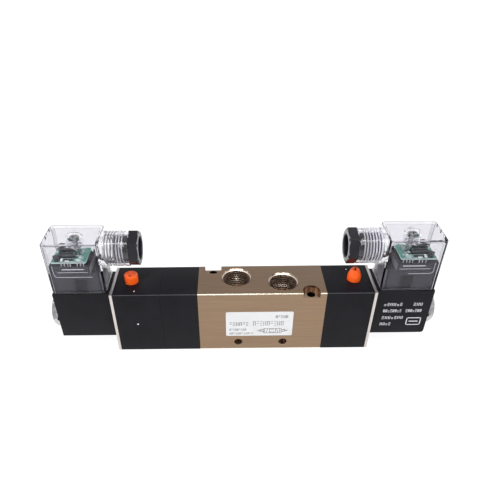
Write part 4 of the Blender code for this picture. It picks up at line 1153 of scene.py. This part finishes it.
# ======================================================= stage, light, camera
floor_bm = bmesh.new()
bmesh.ops.create_grid(floor_bm, x_segments=1, y_segments=1, size=6.0)
floor_mesh = bpy.data.meshes.new("floor")
floor_bm.to_mesh(floor_mesh)
floor_bm.free()
floor = bpy.data.objects.new("floor", floor_mesh)
floor.location = (0, 0, -0.0001)
SCENE.collection.objects.link(floor)
fmat = Mat("pale_floor").set(spec=0.05)
ftone = fmat.noise(0.004)
fmat.color(fmat.mix(fmat.span(ftone, 0.0, 1.0), (0.19, 0.19, 0.19), (0.21, 0.21, 0.21)))
fmat.rough(fmat.span(ftone, 0.8, 0.9))
# the table is lit from below, as for a catalogue cut-out
fmat.p.inputs["Emission Color"].default_value = (1.0, 1.0, 1.0, 1.0)
fmat.p.inputs["Emission Strength"].default_value = 0.92
floor.data.materials.append(fmat.mat)

world = bpy.data.worlds.new("studio")
SCENE.world = world
world.use_nodes = True
world.node_tree.nodes["Background"].inputs[0].default_value = (0.95, 0.96, 1.0, 1.0)
world.node_tree.nodes["Background"].inputs[1].default_value = 0.72


def area(name, loc, target, size, power, color=(1, 1, 1), size_y=None):
    light = bpy.data.lights.new(name, "AREA")
    light.energy = power
    light.color = color
    light.size = size
    if size_y:
        light.shape = "RECTANGLE"
        light.size_y = size_y
    obj = bpy.data.objects.new(name, light)
    obj.location = loc
    d = Vector(target) - Vector(loc)
    obj.rotation_euler = d.to_track_quat("-Z", "Y").to_euler()
    SCENE.collection.objects.link(obj)
    return obj


# one long narrow strip light high in front runs along every upper front edge
area("strip", (0, -0.27, 0.57), (0, 0, 0.03), 1.0, 1.8, (1.0, 0.995, 0.98), 0.07)
area("column", (0.0, -0.32, 0.50), (0, 0, 0.03), 0.05, 0.35, (1.0, 0.995, 0.98), 0.38)
area("side_left", (-0.55, -0.10, 0.25), (0, 0, 0.03), 0.35, 1.5, (0.97, 0.98, 1.0))
area("side_right", (0.55, -0.10, 0.25), (0, 0, 0.03), 0.35, 0.9, (0.97, 0.98, 1.0))

# the camera stands a little left of the valve's middle, above and in front
cam_data = bpy.data.cameras.new("camera")
cam_data.sensor_width = 36.0
cam_data.lens = 36.744
cam_data.shift_x = 0.0356
cam_data.shift_y = 0.1235
cam_data.clip_start = 0.01
cam = bpy.data.objects.new("camera", cam_data)
pitch, yaw, roll = math.radians(-38.297), math.radians(-0.53), math.radians(-0.932)
fwd = Vector((math.sin(yaw) * math.cos(pitch), math.cos(yaw) * math.cos(pitch), math.sin(pitch)))
right = Vector((math.cos(yaw), -math.sin(yaw), 0.0))
up = right.cross(fwd)
r2 = right * math.cos(roll) + up * math.sin(roll)
u2 = -right * math.sin(roll) + up * math.cos(roll)
cam.matrix_world = Matrix(((r2.x, u2.x, -fwd.x, -0.00701), (r2.y, u2.y, -fwd.y, -0.226554),
                           (r2.z, u2.z, -fwd.z, 0.201488), (0, 0, 0, 1)))
SCENE.collection.objects.link(cam)
SCENE.camera = cam
SCENE.view_settings.view_transform = "Standard"
